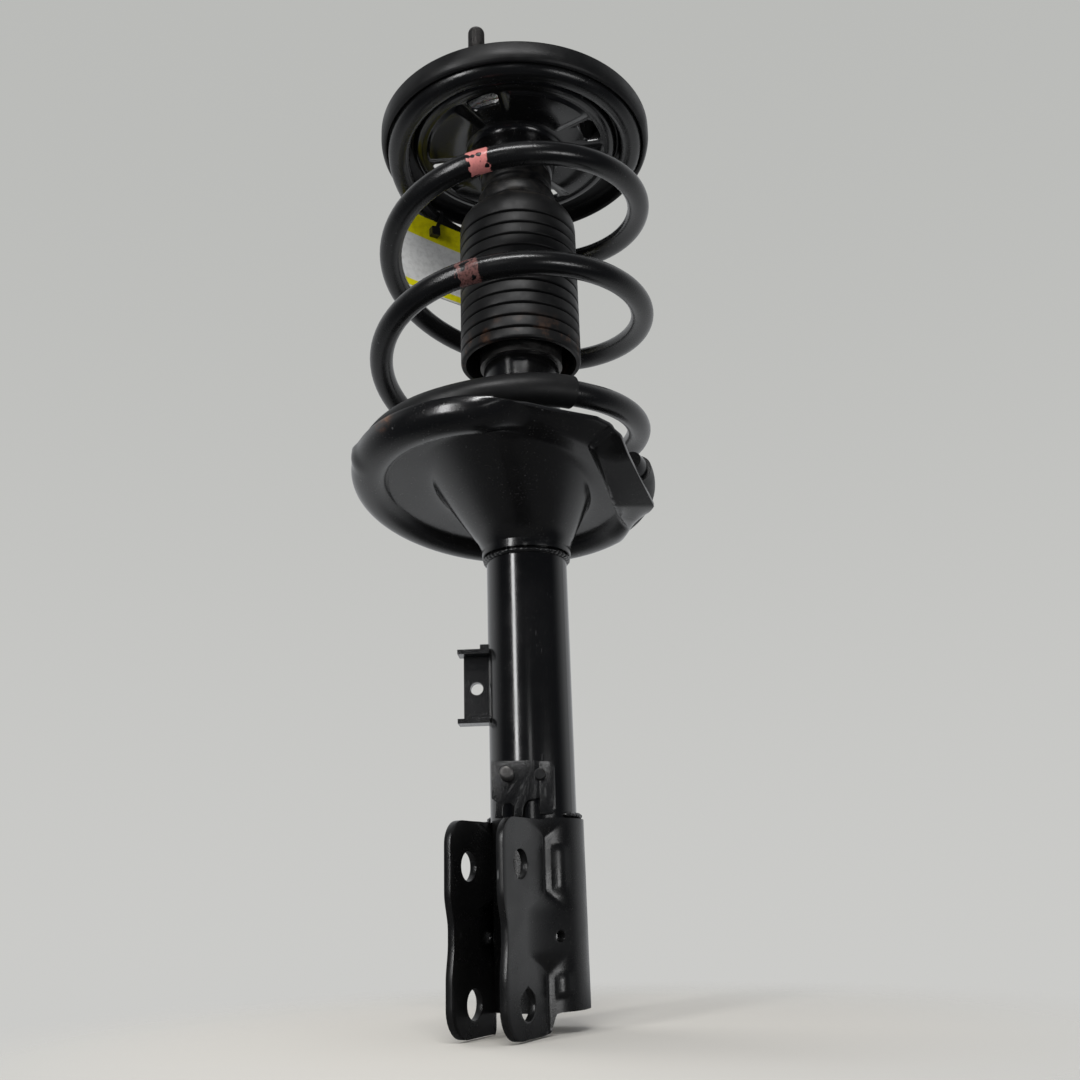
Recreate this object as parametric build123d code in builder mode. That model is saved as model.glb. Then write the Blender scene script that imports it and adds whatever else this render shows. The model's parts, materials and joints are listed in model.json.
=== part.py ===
from build123d import *
import os
from math import atan2, cos, degrees, pi, radians, sin, sqrt, tan

os.makedirs("parts", exist_ok=True)

# MacPherson strut with its coil spring, upper mount and knuckle bracket.
# Millimetres, strut axis vertical. z = 0 is the face of the upper mount that bolts up under
# the body, on the strut axis, and the ears of the knuckle bracket point to -Y.

# ---------------------------------------------------------------- driving dimensions
running = 0.05            # radial clearance of a sliding or rolling fit
seat_gap = 0.3            # gap between pieces of different bodies that lie near each other
sheet = 2.2               # stamped sheet of both spring seats
sheet_round = 1.8          # radius on the rim of a pressed channel
edge_break = 0.6          # small edge fillet on machined and stamped pieces

# damper
tube_od = 45.0
tube_wall = 2.5
tube_top = -160.0
tube_bottom = -533.0
rod_d = 22.0
thread_d = 14.0           # threaded top of the rod
rod_shoulder = -14.0      # where the rod steps down to its thread
rod_top = 30.0
cylinder_bore = 32.0      # pressure tube
cylinder_wall = 1.5
guide_depth = 15.0
guide_spigot = 5.0        # step of the rod guide inside the pressure tube
bush_wall = 1.5
seal_height = 4.0
seal_lip = 1.2
cap_wall = 2.0
cap_round = 1.5
cap_skirt = 20.0
cap_hole_radius = 14.0
base_thickness = 4.0
base_dish = 2.0            # hollow in the cap's outer face
base_dish_draft = 32.0
valve_foot = 8.0
valve_slot_depth = 2.7
valve_spigot = 4.0
valve_port_d = 3.0
valve_port_count = 6
piston_height = 16.0
piston_drop = 44.0        # piston below the rod guide at full extension
piston_pin_radius = 6.0   # reduced end of the rod through the piston
piston_nut_flats = 19.0
piston_nut_height = 8.0
band_width = 8.0
band_depth = 1.0
rebound_height = 12.0
rebound_wall = 3.0
rebound_play = 2.0        # rebound stop below the rod guide at full extension

# coil spring: wire, mean radius, turns of each zone and where its ends stand
wire_d = 13.3
coil_radius = 74.4
coil_start = 2.0          # angle of the lower wire end, from +X towards +Y
coil_zones = (            # (turns, pitch as a share of the open coils'), lower end first
    (0.27, 0.02),
    (0.25, 0.09),
    (0.25, 0.32),
    (0.15, 1.08),
    (0.15, 1.36),
    (0.85, 1.00),
    (1.15, 1.03),
    (0.17, 0.91),
    (0.17, 1.35),
    (0.17, 1.11),
    (0.17, 0.40),
    (0.24, 0.05),
)
coil_bulge = 2.5          # the middle coils are this much wider ...
coil_bow = 2.5            # ... and stand this far towards bow_turn, to cancel side load
bow_turn = 27.0
bow_rise = 1.4            # above 1 it moves the widest place up the coil
level_share = 0.06        # share of the rise, at the top, where the coils lie on the strut axis
arcs_per_turn = 12
sleeve_wall = 1.8
sleeve_turns = 0.90
bare_tip = 9.0            # wire standing out of the sleeve at its lower end

# lower spring seat: centre, tilt, trough and the pieces of its stamping
seat_offset = 22.5        # towards the knuckle ears
seat_height = -262.7      # height of the wire's centre plane over the seat centre
seat_tilt = 9.3
trough_clearance = 0.35
trough_lip = 3.0
trough_start = 36.0       # the round trough runs from here to trough_end by way of the rear
trough_end = 300.0
web_drop = 2.5            # flat web below the wire's centre plane
cone_half_width = 43.0
cone_half_length = 55.0
cone_shift_x = 7.0
cone_shift_y = -6.0
cone_turn = 12.0
cone_foot = -292.0
collar_height = 7.0
collar_wall = 2.5
window_inner = 50.0
window_outer = 59.0
window_left = 150.0       # middle directions of the two kidney windows
window_left_span = 60.0
window_right = 75.0
window_right_span = 40.0
flange_front = -28.0      # the cut-back flange ends here, the pocket begins
pocket_turn = 11.8        # direction square to the pocket's long walls
pocket_inner = 59.0       # long walls from the seat centre
pocket_outer = 83.4
pocket_front = 36.0       # short walls from the seat centre, along the walls
pocket_rear = 27.0
pocket_depth = 11.0
pocket_lip_depth = 1.0    # depth where its sloping front begins ...
pocket_slope = 28.0       # ... and how far back the slope reaches the floor
pocket_draft = 14.0
channel_lead = 35.0       # the wire's way is clear this far ahead of the round trough
window_round = 4.0
dimple_circle = 74.0
dimple_first = -46.0
dimple_second = -35.0
dimple_radius = 3.6
dimple_drop = 1.6
cone_blend = 6.0          # radius where the cone leaves the web
weld_leg = 3.5

# knuckle bracket
bracket_sheet = 3.5
bracket_top = -443.0
bracket_bottom = -533.0
ear_gap = 25.0
plate_slot_length = 30.0   # slot in the inner plate between the ears
plate_slot_width = 12.5
ear_top = -447.0
ear_bottom = -543.0
ear_reach = 62.0
ear_waist_reach = 55.5
waist_top = -488.0
waist_bottom = -506.0
waist_slope = 9.0          # length of the slope above the waist
waist_slope_low = 7.2      # and below it
heel_reach = 12.0         # where the ears' lower edge turns up towards the tube
bolt_hole_d = 14.2
bolt_upper = -465.5
bolt_lower = -527.7
bolt_upper_reach = 45.0   # bolt centres ahead of the strut axis
bolt_lower_reach = 40.5
pad_height = 0.8
pad_margin = 3.0
pad_rear = 21.0
inner_plate_sheet = 2.5
drain_width = 6.0
drain_height = 4.0
drain_round = 1.3
drain_reach = 16.0
drain_level = -499.0
wrap_blend = 5.0
ear_round = 7.0
pad_round = 3.0
weld_turn = -22.0         # where the first weld run starts, and how far each one runs
weld_span = 95.0
half_turn = 180.0

# brackets on the tube
hose_turn = 205.0
hose_top = -352.0
hose_height = 40.0
hose_reach = 38.5
hose_waist = 36.0          # reach of the web between its flanges
hose_hook = 4.5
hose_hook_width = 4.5
hose_sheet = 2.5
hose_flange = 9.0
hose_hole_d = 7.0
hose_boss_d = 14.0
hose_boss_height = 3.0
hose_hole_reach = 29.0
sensor_turn = -63.0
sensor_middle = -421.5
sensor_height = 19.0
sensor_left = 21.0
sensor_right = 8.0
sensor_fold = 2.0         # step between the pad on the tube and the plate
sensor_sheet = 2.0
sensor_leg = 7.0           # foot of the pad below the plate
sensor_foot = 10.5
sensor_corner = 4.0
fork_middle = 9.6          # forked tail of the plate, from the fold
fork_width = 15.4
fork_height = 7.0
fork_slot = 5.6
sensor_stud_d = 7.0
sensor_stud_length = 12.0
sensor_stud_left = 12.5
rivet_d = 6.0
rivet_left = -4.0

# upper spring seat
rim_margin = 11.2         # rim outside the wire's centre circle
rim_top = -13.0
rim_drop = 13.0
pad_skirt = 1.6           # rubber outside the steel rim
pad_roof = 2.2
pad_inner_wall = 1.7
channel_margin = 9.4      # channel's inner wall inside the wire's centre circle
web_top = -22.0
hub_radius = 27.5
hub_bottom_radius = 23.0
hub_bottom = -46.0
rod_hole_radius = 13.0
upper_window_inner = 45.0
upper_window_edge = 3.0   # web between the windows and the channel
upper_window_span = 24.0
upper_window_first = -84.0
upper_window_count = 4
emboss_inner = 33.0
emboss_span = 60.0
emboss_first = -39.0
emboss_depth = 2.4

# strut bearing
bearing_radius = 36.0
race_half_width = 7.0
race_height = 4.0
ball_d = 6.0
ball_count = 16
race_space = 2.0          # space between the two races
cage_height = 1.4
cage_half_width = 5.5

# upper mount
mount_sheet = 4.0
lobe_radius = 10.5
mount_disc_radius = 49.0
hat_radius = 33.0
hat_wall = 3.0
hat_round = 2.1
hat_top = 12.0
hat_hole_radius = 18.0
retainer_sheet = 2.5
retainer_radius = 47.0
stud_circle_d = 118.0
stud_angle = -84.0
stud_count = 3
stud_d = 10.0
stud_tip = 22.0
stud_chamfer = 1.2
knurl = 0.4               # a pressed-in stud is this much larger inside its plate
stud_head_radius = 8.0
stud_head_height = 4.0
core_radius = 12.0
core_flange_radius = 20.0
core_flange_height = 3.0
core_top = 14.5
washer_radius = 21.0
washer_height = 2.5
nut_height = 11.0
nut_across_flats = 22.0
nut_corner_radius = 12.1

# dust boot and bump stop
boot_radius = 36.0
boot_valley = 2.6
boot_wall = 1.4
boot_ribs = 14
rib_crest_start = 0.25     # shares of the rib pitch, from its top
rib_crest_end = 0.6
rib_foot = 0.85
boot_bottom = -178.0
boot_shoulder = -76.0
boot_neck_radius = 19.8
boot_bead_radius = 22.2
boot_bead_height = 6.0
boot_neck_bottom = -64.0
cup_wall = 1.2
cup_depth = 13.0
bump_radius = 16.4
bump_waist = 2.5
bump_length = 42.0
bump_rings = 3
bump_groove = 0.33         # deepest point of a groove, as a share of the ring pitch
bump_crown = 0.67
bump_tip = 3.0             # how far the tip is drawn in
bump_play = 0.6

# hang tag and its tie
tie_share = 0.869         # place of the tie along the wire, from its lower end
tie_clearance = 0.5
tie_width = 2.6
tie_thickness = 1.2
tie_head = 6.0
tie_head_depth = 4.5
tie_button_d = 6.4
tag_turn = 150.0          # direction that the card's outer face looks
tag_reach = 63.0          # card's inner face from the strut axis
tag_along = 27.0          # card's hole, sideways in its plane
tag_level = -57.3         # height of the card's hole
tag_width = 66.0
tag_height = 56.0
tag_thickness = 0.8
tag_round = 2.0
tag_lean = -2.0
tag_hole_d = 4.0
tag_hole_y = 10.0         # hole from the card's upper edge

# ---------------------------------------------------------------- sizes that follow
tube_r = tube_od / 2
tube_bore_r = tube_r - tube_wall
rod_r = rod_d / 2
thread_r = thread_d / 2
wire_r = wire_d / 2
sleeve_r = wire_r + sleeve_wall
cylinder_r = cylinder_bore / 2
cylinder_outer_r = cylinder_r + cylinder_wall
guide_top = tube_top - seal_height
guide_bottom = guide_top - guide_depth
cylinder_top = guide_bottom + guide_spigot
valve_top = tube_bottom + base_thickness + valve_foot
piston_top = guide_bottom - piston_drop
piston_bottom = piston_top - piston_height
rim_radius = coil_radius + rim_margin
channel_inner = coil_radius - channel_margin
upper_window_outer = channel_inner - upper_window_edge
upper_wire_height = rim_top - sheet - pad_roof - seat_gap - wire_r
web_under = web_top - sheet
ear_outer = ear_gap / 2 + bracket_sheet
wrap_r = tube_r + bracket_sheet
trough_r = sleeve_r + trough_clearance
ball_r = ball_d / 2
ball_height = web_top + race_height + race_space / 2
upper_race_bottom = web_top + race_height + race_space
upper_race_top = upper_race_bottom + race_height
coil_turns = sum(turns for turns, share in coil_zones)
tall = 4 * tube_od        # cutting length longer than any stamping is deep

seat_lean = radians(seat_tilt)
SEAT_PLANE = Plane(
    origin=(0, -seat_offset, seat_height),
    x_dir=(1, 0, 0),
    z_dir=(0, sin(seat_lean), cos(seat_lean)),
)
SEAT_AXIS = Axis(SEAT_PLANE.origin, SEAT_PLANE.z_dir)


def save(builder, name):
    """Label a finished piece and write it as its own STEP file."""
    builder.part.label = name
    export_step(builder.part, "parts/" + name + ".step")


def radial_plane(angle, base=Plane.XY):
    """Plane through the base plane's axis: sketch x is radial, sketch y runs up the axis."""
    across = base.x_dir * cos(radians(angle)) + base.y_dir * sin(radians(angle))
    return Plane(origin=base.origin, x_dir=across, z_dir=across.cross(base.z_dir))


def turned(points, plane=Plane.XZ):
    """Face with the given (radius, height) corners, for a turned piece."""
    with BuildSketch(plane, mode=Mode.PRIVATE) as face:
        with BuildLine():
            Polyline(*points, close=True)
        make_face()
    return face.sketch


def polar(radius, angle):
    """Point at a radius and an angle in degrees."""
    return radius * cos(radians(angle)), radius * sin(radians(angle))


def kidney(middle, span, inner, outer, round_r):
    """Kidney outline round the sketch origin, with rounded corners."""
    half = span / 2
    with BuildSketch(Plane.XY, mode=Mode.PRIVATE) as shape:
        with BuildLine():
            CenterArc((0, 0), inner, middle - half, span)
            CenterArc((0, 0), outer, middle - half, span)
            Line(polar(inner, middle - half), polar(outer, middle - half))
            Line(polar(inner, middle + half), polar(outer, middle + half))
        make_face()
        fillet(shape.vertices(), round_r)
    return shape.sketch


# ---------------------------------------------------------------- coil spring
def coil_share(turn):
    """Share of the wire's whole rise that is reached this many turns above its lower end."""
    reached = 0.0
    whole = 0.0
    start = 0.0
    for turns, share in coil_zones:
        inside = min(max(turn - start, 0.0), turns)
        reached += inside * share
        whole += turns * share
        start += turns
    return reached / whole


def wire_points():
    """Centres of the wire, leaning from the tilted lower seat to the level upper one."""
    steps = round(coil_turns * arcs_per_turn)
    rise = upper_wire_height - seat_height
    points = []
    for i in range(steps + 1):
        angle = radians(coil_start + 360 * coil_turns * i / steps)
        left = 1 - coil_share(coil_turns * i / steps)
        lean = seat_lean * left
        swell = sin(pi * (1 - left) ** bow_rise) ** 2
        bow_x, bow_y = polar(coil_bow * swell, bow_turn)
        radius = coil_radius + coil_bulge * swell
        along = radius * sin(angle)
        offset = seat_offset * max(0.0, left - level_share) / (1 - level_share)
        points.append((
            radius * cos(angle) + bow_x,
            along * cos(lean) - offset + bow_y,
            upper_wire_height - left * rise - along * sin(lean),
        ))
    return points


def wire_arcs(points):
    """Arcs through the wire's centres, each tangent to the one before."""
    arcs = [ThreePointArc(*points[0:3])]
    for here, there in zip(points[2:-1], points[3:]):
        arcs.append(TangentArc(here, there, tangent=arcs[-1] % 1))
    return arcs


wire_centres = wire_points()
spring_arcs = wire_arcs(wire_centres)
spring_path = Wire(spring_arcs)

with BuildPart() as coil_spring:
    with BuildSketch(Plane(origin=spring_path @ 0, z_dir=spring_path % 0)):
        Circle(wire_r)
    sweep(path=spring_path)
save(coil_spring, "coil_spring")

# rubber sleeve on the lowest coil: a hose slid over the wire, the wire's end standing out of it
sleeve_steps = sleeve_turns * arcs_per_turn
whole_steps = int(sleeve_steps)
first_arc = spring_arcs[0].trim(bare_tip / spring_arcs[0].length, 1)
last_arc = spring_arcs[whole_steps - 1].trim(0, sleeve_steps - whole_steps)
sleeve_path = Wire([first_arc] + spring_arcs[1:whole_steps - 1] + [last_arc])
with BuildPart() as lower_spring_sleeve:
    with BuildSketch(Plane(origin=sleeve_path @ 0, z_dir=sleeve_path % 0)):
        Circle(sleeve_r)
        Circle(wire_r, mode=Mode.SUBTRACT)
    sweep(path=sleeve_path)
save(lower_spring_sleeve, "lower_spring_sleeve")

# ---------------------------------------------------------------- damper: reserve tube
with BuildPart() as reserve_tube:
    with BuildSketch(Plane.XY.offset(tube_bottom)):
        Circle(tube_r)
        Circle(tube_bore_r, mode=Mode.SUBTRACT)
    extrude(amount=tube_top - tube_bottom)
save(reserve_tube, "reserve_tube")

# domed cap welded into the foot of the tube
with BuildPart() as tube_base_cap:
    with BuildSketch(Plane.XY.offset(tube_bottom)):
        Circle(tube_bore_r)
    extrude(amount=base_thickness)
    with BuildSketch(Plane.XY.offset(tube_bottom)):
        Circle(tube_bore_r / 2)
    extrude(amount=base_dish, taper=base_dish_draft, mode=Mode.SUBTRACT)
save(tube_base_cap, "tube_base_cap")

# base valve: a castellated foot with a spigot into the pressure tube and a ring of ports
with BuildPart() as base_valve:
    with BuildSketch(Plane.XY.offset(tube_bottom + base_thickness)):
        Circle(tube_bore_r - running)
    extrude(amount=valve_foot)
    with BuildSketch(Plane.XY.offset(valve_top)):
        Circle(cylinder_r)
    extrude(amount=valve_spigot)
    with BuildSketch(Plane.XY.offset(tube_bottom + base_thickness)):
        with PolarLocations(0, valve_port_count):
            Rectangle(2 * tube_od, valve_port_d)
    extrude(amount=valve_slot_depth, mode=Mode.SUBTRACT)
    with BuildSketch(Plane.XY.offset(tube_bottom + base_thickness)):
        with PolarLocations(cylinder_r / 2, valve_port_count):
            Circle(valve_port_d / 2)
    extrude(amount=valve_foot + valve_spigot, mode=Mode.SUBTRACT)
save(base_valve, "base_valve")

with BuildPart() as pressure_tube:
    with BuildSketch(Plane.XY.offset(valve_top)):
        Circle(cylinder_outer_r)
        Circle(cylinder_r, mode=Mode.SUBTRACT)
    extrude(amount=cylinder_top - valve_top)
save(pressure_tube, "pressure_tube")

# rod guide: closes the pressure tube and carries the bush
bush_r = rod_r + running + bush_wall
with BuildPart() as rod_guide:
    revolve(turned([
        (bush_r, guide_bottom),
        (cylinder_r, guide_bottom),
        (cylinder_r, cylinder_top),
        (tube_bore_r, cylinder_top),
        (tube_bore_r, guide_top),
        (bush_r, guide_top),
    ]), axis=Axis.Z)
save(rod_guide, "rod_guide")

with BuildPart() as guide_bush:
    with BuildSketch(Plane.XY.offset(guide_bottom)):
        Circle(bush_r)
        Circle(rod_r + running, mode=Mode.SUBTRACT)
    extrude(amount=guide_depth)
save(guide_bush, "guide_bush")

# oil seal with its two lips on the rod
lip_r = rod_r + running
with BuildPart() as oil_seal:
    revolve(turned([
        (lip_r, guide_top),
        (tube_bore_r, guide_top),
        (tube_bore_r, tube_top),
        (lip_r, tube_top),
        (lip_r, tube_top - seal_lip),
        (lip_r + seal_lip, tube_top - seal_height / 2),
        (lip_r, guide_top + seal_lip),
    ]), axis=Axis.Z)
save(oil_seal, "oil_seal")

# striker cap pressed over the tube: the bump stop meets it at full travel
with BuildPart() as tube_top_cap:
    with BuildSketch(Plane.XY.offset(tube_top - cap_skirt)):
        Circle(tube_r + cap_wall)
    extrude(amount=cap_skirt + cap_wall)
    with BuildSketch(Plane.XY.offset(tube_top - cap_skirt)):
        Circle(tube_r)
    extrude(amount=cap_skirt, mode=Mode.SUBTRACT)
    with BuildSketch(Plane.XY.offset(tube_top)):
        Circle(cap_hole_radius)
    extrude(amount=cap_wall, mode=Mode.SUBTRACT)
    fillet(tube_top_cap.edges().filter_by(GeomType.CIRCLE).group_by(Axis.Z)[-1].sort_by(
        SortBy.RADIUS)[-1:], cap_round)
save(tube_top_cap, "tube_top_cap")

# ---------------------------------------------------------------- damper: rod and piston
with BuildPart() as piston_rod:
    revolve(turned([
        (0, piston_bottom - piston_nut_height),
        (piston_pin_radius, piston_bottom - piston_nut_height),
        (piston_pin_radius, piston_top),
        (rod_r, piston_top),
        (rod_r, rod_shoulder),
        (thread_r, rod_shoulder),
        (thread_r, rod_top - stud_chamfer),
        (thread_r - stud_chamfer, rod_top),
        (0, rod_top),
    ]), axis=Axis.Z)
save(piston_rod, "piston_rod")

piston_r = cylinder_r - running
with BuildPart() as piston:
    with BuildSketch(Plane.XY.offset(piston_bottom)):
        Circle(piston_r)
        Circle(piston_pin_radius, mode=Mode.SUBTRACT)
        with PolarLocations((piston_r + piston_pin_radius) / 2, valve_port_count):
            Circle(valve_port_d / 2, mode=Mode.SUBTRACT)
    extrude(amount=piston_height)
    with BuildSketch(Plane.XY.offset((piston_top + piston_bottom - band_width) / 2)):
        Circle(piston_r)
        Circle(piston_r - band_depth, mode=Mode.SUBTRACT)
    extrude(amount=band_width, mode=Mode.SUBTRACT)
save(piston, "piston")

with BuildPart() as piston_band:
    with BuildSketch(Plane.XY.offset((piston_top + piston_bottom - band_width) / 2)):
        Circle(piston_r)
        Circle(piston_r - band_depth, mode=Mode.SUBTRACT)
    extrude(amount=band_width)
save(piston_band, "piston_band")

with BuildPart() as piston_nut:
    with BuildSketch(Plane.XY.offset(piston_bottom - piston_nut_height)):
        RegularPolygon(piston_nut_flats / 2, 6, major_radius=False)
        Circle(piston_pin_radius, mode=Mode.SUBTRACT)
    extrude(amount=piston_nut_height)
save(piston_nut, "piston_nut")

with BuildPart() as rebound_stop:
    with BuildSketch(Plane.XY.offset(guide_bottom - rebound_play - rebound_height)):
        Circle(rod_r + rebound_wall)
        Circle(rod_r, mode=Mode.SUBTRACT)
    extrude(amount=rebound_height)
    fillet(rebound_stop.edges().filter_by(GeomType.CIRCLE).sort_by(SortBy.RADIUS)[-2:],
           edge_break)
save(rebound_stop, "rebound_stop")

# ---------------------------------------------------------------- lower spring seat
# One stamping in the tilted seat plane: a round trough for the sleeved coil, a flat web, a
# drawn cone down to the tube, a flat cut-back flange and a box pocket under the wire's end.
trough_outer_r = trough_r + sheet
seat_rim = coil_radius + trough_outer_r
trough_inner = coil_radius - sqrt(trough_r ** 2 - web_drop ** 2)
round_span = trough_end - trough_start
cone_angle = cone_turn - 90
collar_r = tube_r + collar_wall
WEB_PLANE = SEAT_PLANE.offset(-web_drop)
WEB_UNDER = WEB_PLANE.offset(-sheet)
CONE_FOOT = Plane(origin=(0, 0, cone_foot), x_dir=(*polar(1, cone_angle), 0), z_dir=(0, 0, 1))

with BuildSketch(SEAT_PLANE, mode=Mode.PRIVATE) as pocket_outline:
    with Locations(Location((0, 0, 0), (0, 0, pocket_turn))):
        with Locations((pocket_inner, -pocket_front)):
            Rectangle(pocket_outer - pocket_inner, pocket_front + pocket_rear, align=Align.MIN)
    Circle(seat_rim - sheet, mode=Mode.INTERSECT)
with BuildSketch(SEAT_PLANE, mode=Mode.PRIVATE) as pocket_wall:
    add(pocket_outline.sketch_local)
    offset(amount=sheet)

# the pocket's front slopes down to its floor
slope_angle = degrees(atan2(pocket_depth - pocket_lip_depth, pocket_slope))
POCKET_FRAME = SEAT_PLANE.rotated((0, 0, pocket_turn))
SLOPE_START = Plane(origin=POCKET_FRAME.from_local_coords((0, -pocket_front, -pocket_lip_depth)),
                    x_dir=POCKET_FRAME.x_dir, z_dir=POCKET_FRAME.z_dir)
SLOPE_PLANE = SLOPE_START.rotated((-slope_angle, 0, 0))
with BuildPart(mode=Mode.PRIVATE) as pocket_hollow:
    extrude(pocket_outline.sketch, amount=-pocket_depth, taper=pocket_draft)
    split(bisect_by=SLOPE_PLANE)
with BuildPart(mode=Mode.PRIVATE) as pocket_shell:
    extrude(pocket_wall.sketch, amount=-pocket_depth - sheet, taper=pocket_draft)
    split(bisect_by=SLOPE_PLANE.offset(-sheet))

# drawn cone and the collar that is welded to the tube, with the press tool's radius at the web
with BuildPart(mode=Mode.PRIVATE) as cone_skin:
    with BuildSketch(WEB_UNDER):
        with Locations((cone_shift_x, cone_shift_y)):
            Ellipse(cone_half_length, cone_half_width, rotation=cone_angle)
    with BuildSketch(CONE_FOOT):
        Circle(collar_r)
    loft()
    with BuildSketch(WEB_UNDER):
        Circle(trough_inner)
    extrude(amount=sheet)
    with BuildSketch(CONE_FOOT):
        Circle(collar_r)
    extrude(amount=-collar_height)
    fillet(cone_skin.edges().filter_by(
        lambda edge: edge.geom_type not in (GeomType.CIRCLE, GeomType.LINE)
        and abs(WEB_UNDER.to_local_coords(edge @ 0.5).Z) < running
        and abs(WEB_UNDER.to_local_coords(edge @ 0.2).Z) < running), cone_blend)
with BuildPart(mode=Mode.PRIVATE) as cone_bore:
    with BuildSketch(WEB_PLANE):
        with Locations((cone_shift_x, cone_shift_y)):
            Ellipse(cone_half_length - sheet, cone_half_width - sheet, rotation=cone_angle)
    with BuildSketch(CONE_FOOT):
        Circle(tube_r)
    loft()
    with BuildSketch(CONE_FOOT.offset(-collar_height)):
        Circle(tube_r)
    extrude(amount=tall)

with BuildPart() as lower_spring_seat:
    # flat web with the cut-back flange running out to the rim
    with BuildSketch(WEB_PLANE):
        Circle(trough_inner + sheet / 2)
        with BuildLine():
            Polyline(
                (0, 0),
                polar(seat_rim, trough_end),
                polar(seat_rim, flange_front),
                polar(pocket_outer, flange_front + pocket_turn),
                close=True,
            )
        make_face()
    extrude(amount=-sheet)
    # round trough with its raised outer lip
    with BuildSketch(radial_plane(trough_start, SEAT_PLANE)):
        with Locations((coil_radius, 0)):
            Circle(trough_outer_r)
            Rectangle(trough_outer_r * 2, trough_outer_r * 2, align=(Align.CENTER, Align.MIN),
                      mode=Mode.SUBTRACT)
        with Locations((coil_radius + trough_r, 0)):
            Rectangle(sheet, trough_lip, align=Align.MIN)
        with Locations((coil_radius, 0)):
            Circle(trough_r, mode=Mode.SUBTRACT)
    revolve(axis=SEAT_AXIS, revolution_arc=round_span)
    # box pocket with drafted walls
    add(pocket_shell.part)
    with BuildSketch(SEAT_PLANE):
        add(pocket_wall.sketch_local)
    extrude(amount=trough_lip)
    add(pocket_hollow.part, mode=Mode.SUBTRACT)
    with BuildSketch(SEAT_PLANE):
        add(pocket_outline.sketch_local)
    extrude(amount=trough_lip, mode=Mode.SUBTRACT)
    # the wire's way through the pocket and the round trough, open upwards
    with BuildSketch(radial_plane(trough_start - channel_lead, SEAT_PLANE)):
        with Locations((coil_radius, 0)):
            Circle(trough_r)
            Rectangle(trough_r * 2, trough_outer_r, align=(Align.CENTER, Align.MIN))
    revolve(axis=SEAT_AXIS, revolution_arc=round_span + channel_lead, mode=Mode.SUBTRACT)
    # nothing stands above the web inside the coil
    with BuildSketch(WEB_PLANE):
        Circle(coil_radius)
    extrude(amount=trough_outer_r, mode=Mode.SUBTRACT)
    # drawn cone, open down to the collar's bore
    add(cone_skin.part)
    add(cone_bore.part, mode=Mode.SUBTRACT)
    # kidney windows
    with BuildSketch(WEB_PLANE.offset(sheet)):
        add(kidney(window_left, window_left_span, window_inner, window_outer, window_round))
        add(kidney(window_right, window_right_span, window_inner, window_outer, window_round))
    extrude(amount=-3 * sheet, mode=Mode.SUBTRACT)
    # two dimples pressed into the cut-back flange
    with BuildSketch(WEB_PLANE.offset(-sheet)):
        with Locations(polar(dimple_circle, dimple_first), polar(dimple_circle, dimple_second)):
            Circle(dimple_radius)
    extrude(amount=-dimple_drop, taper=pocket_draft)
    with BuildSketch(WEB_PLANE):
        with Locations(polar(dimple_circle, dimple_first), polar(dimple_circle, dimple_second)):
            Circle(dimple_radius)
    extrude(amount=-dimple_drop, taper=pocket_draft, mode=Mode.SUBTRACT)
save(lower_spring_seat, "lower_spring_seat")

# weld ring under the collar
with BuildPart() as seat_weld:
    revolve(turned([
        (tube_r, cone_foot - collar_height),
        (collar_r, cone_foot - collar_height),
        (tube_r, cone_foot - collar_height - weld_leg),
    ]), axis=Axis.Z)
save(seat_weld, "seat_weld")

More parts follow.
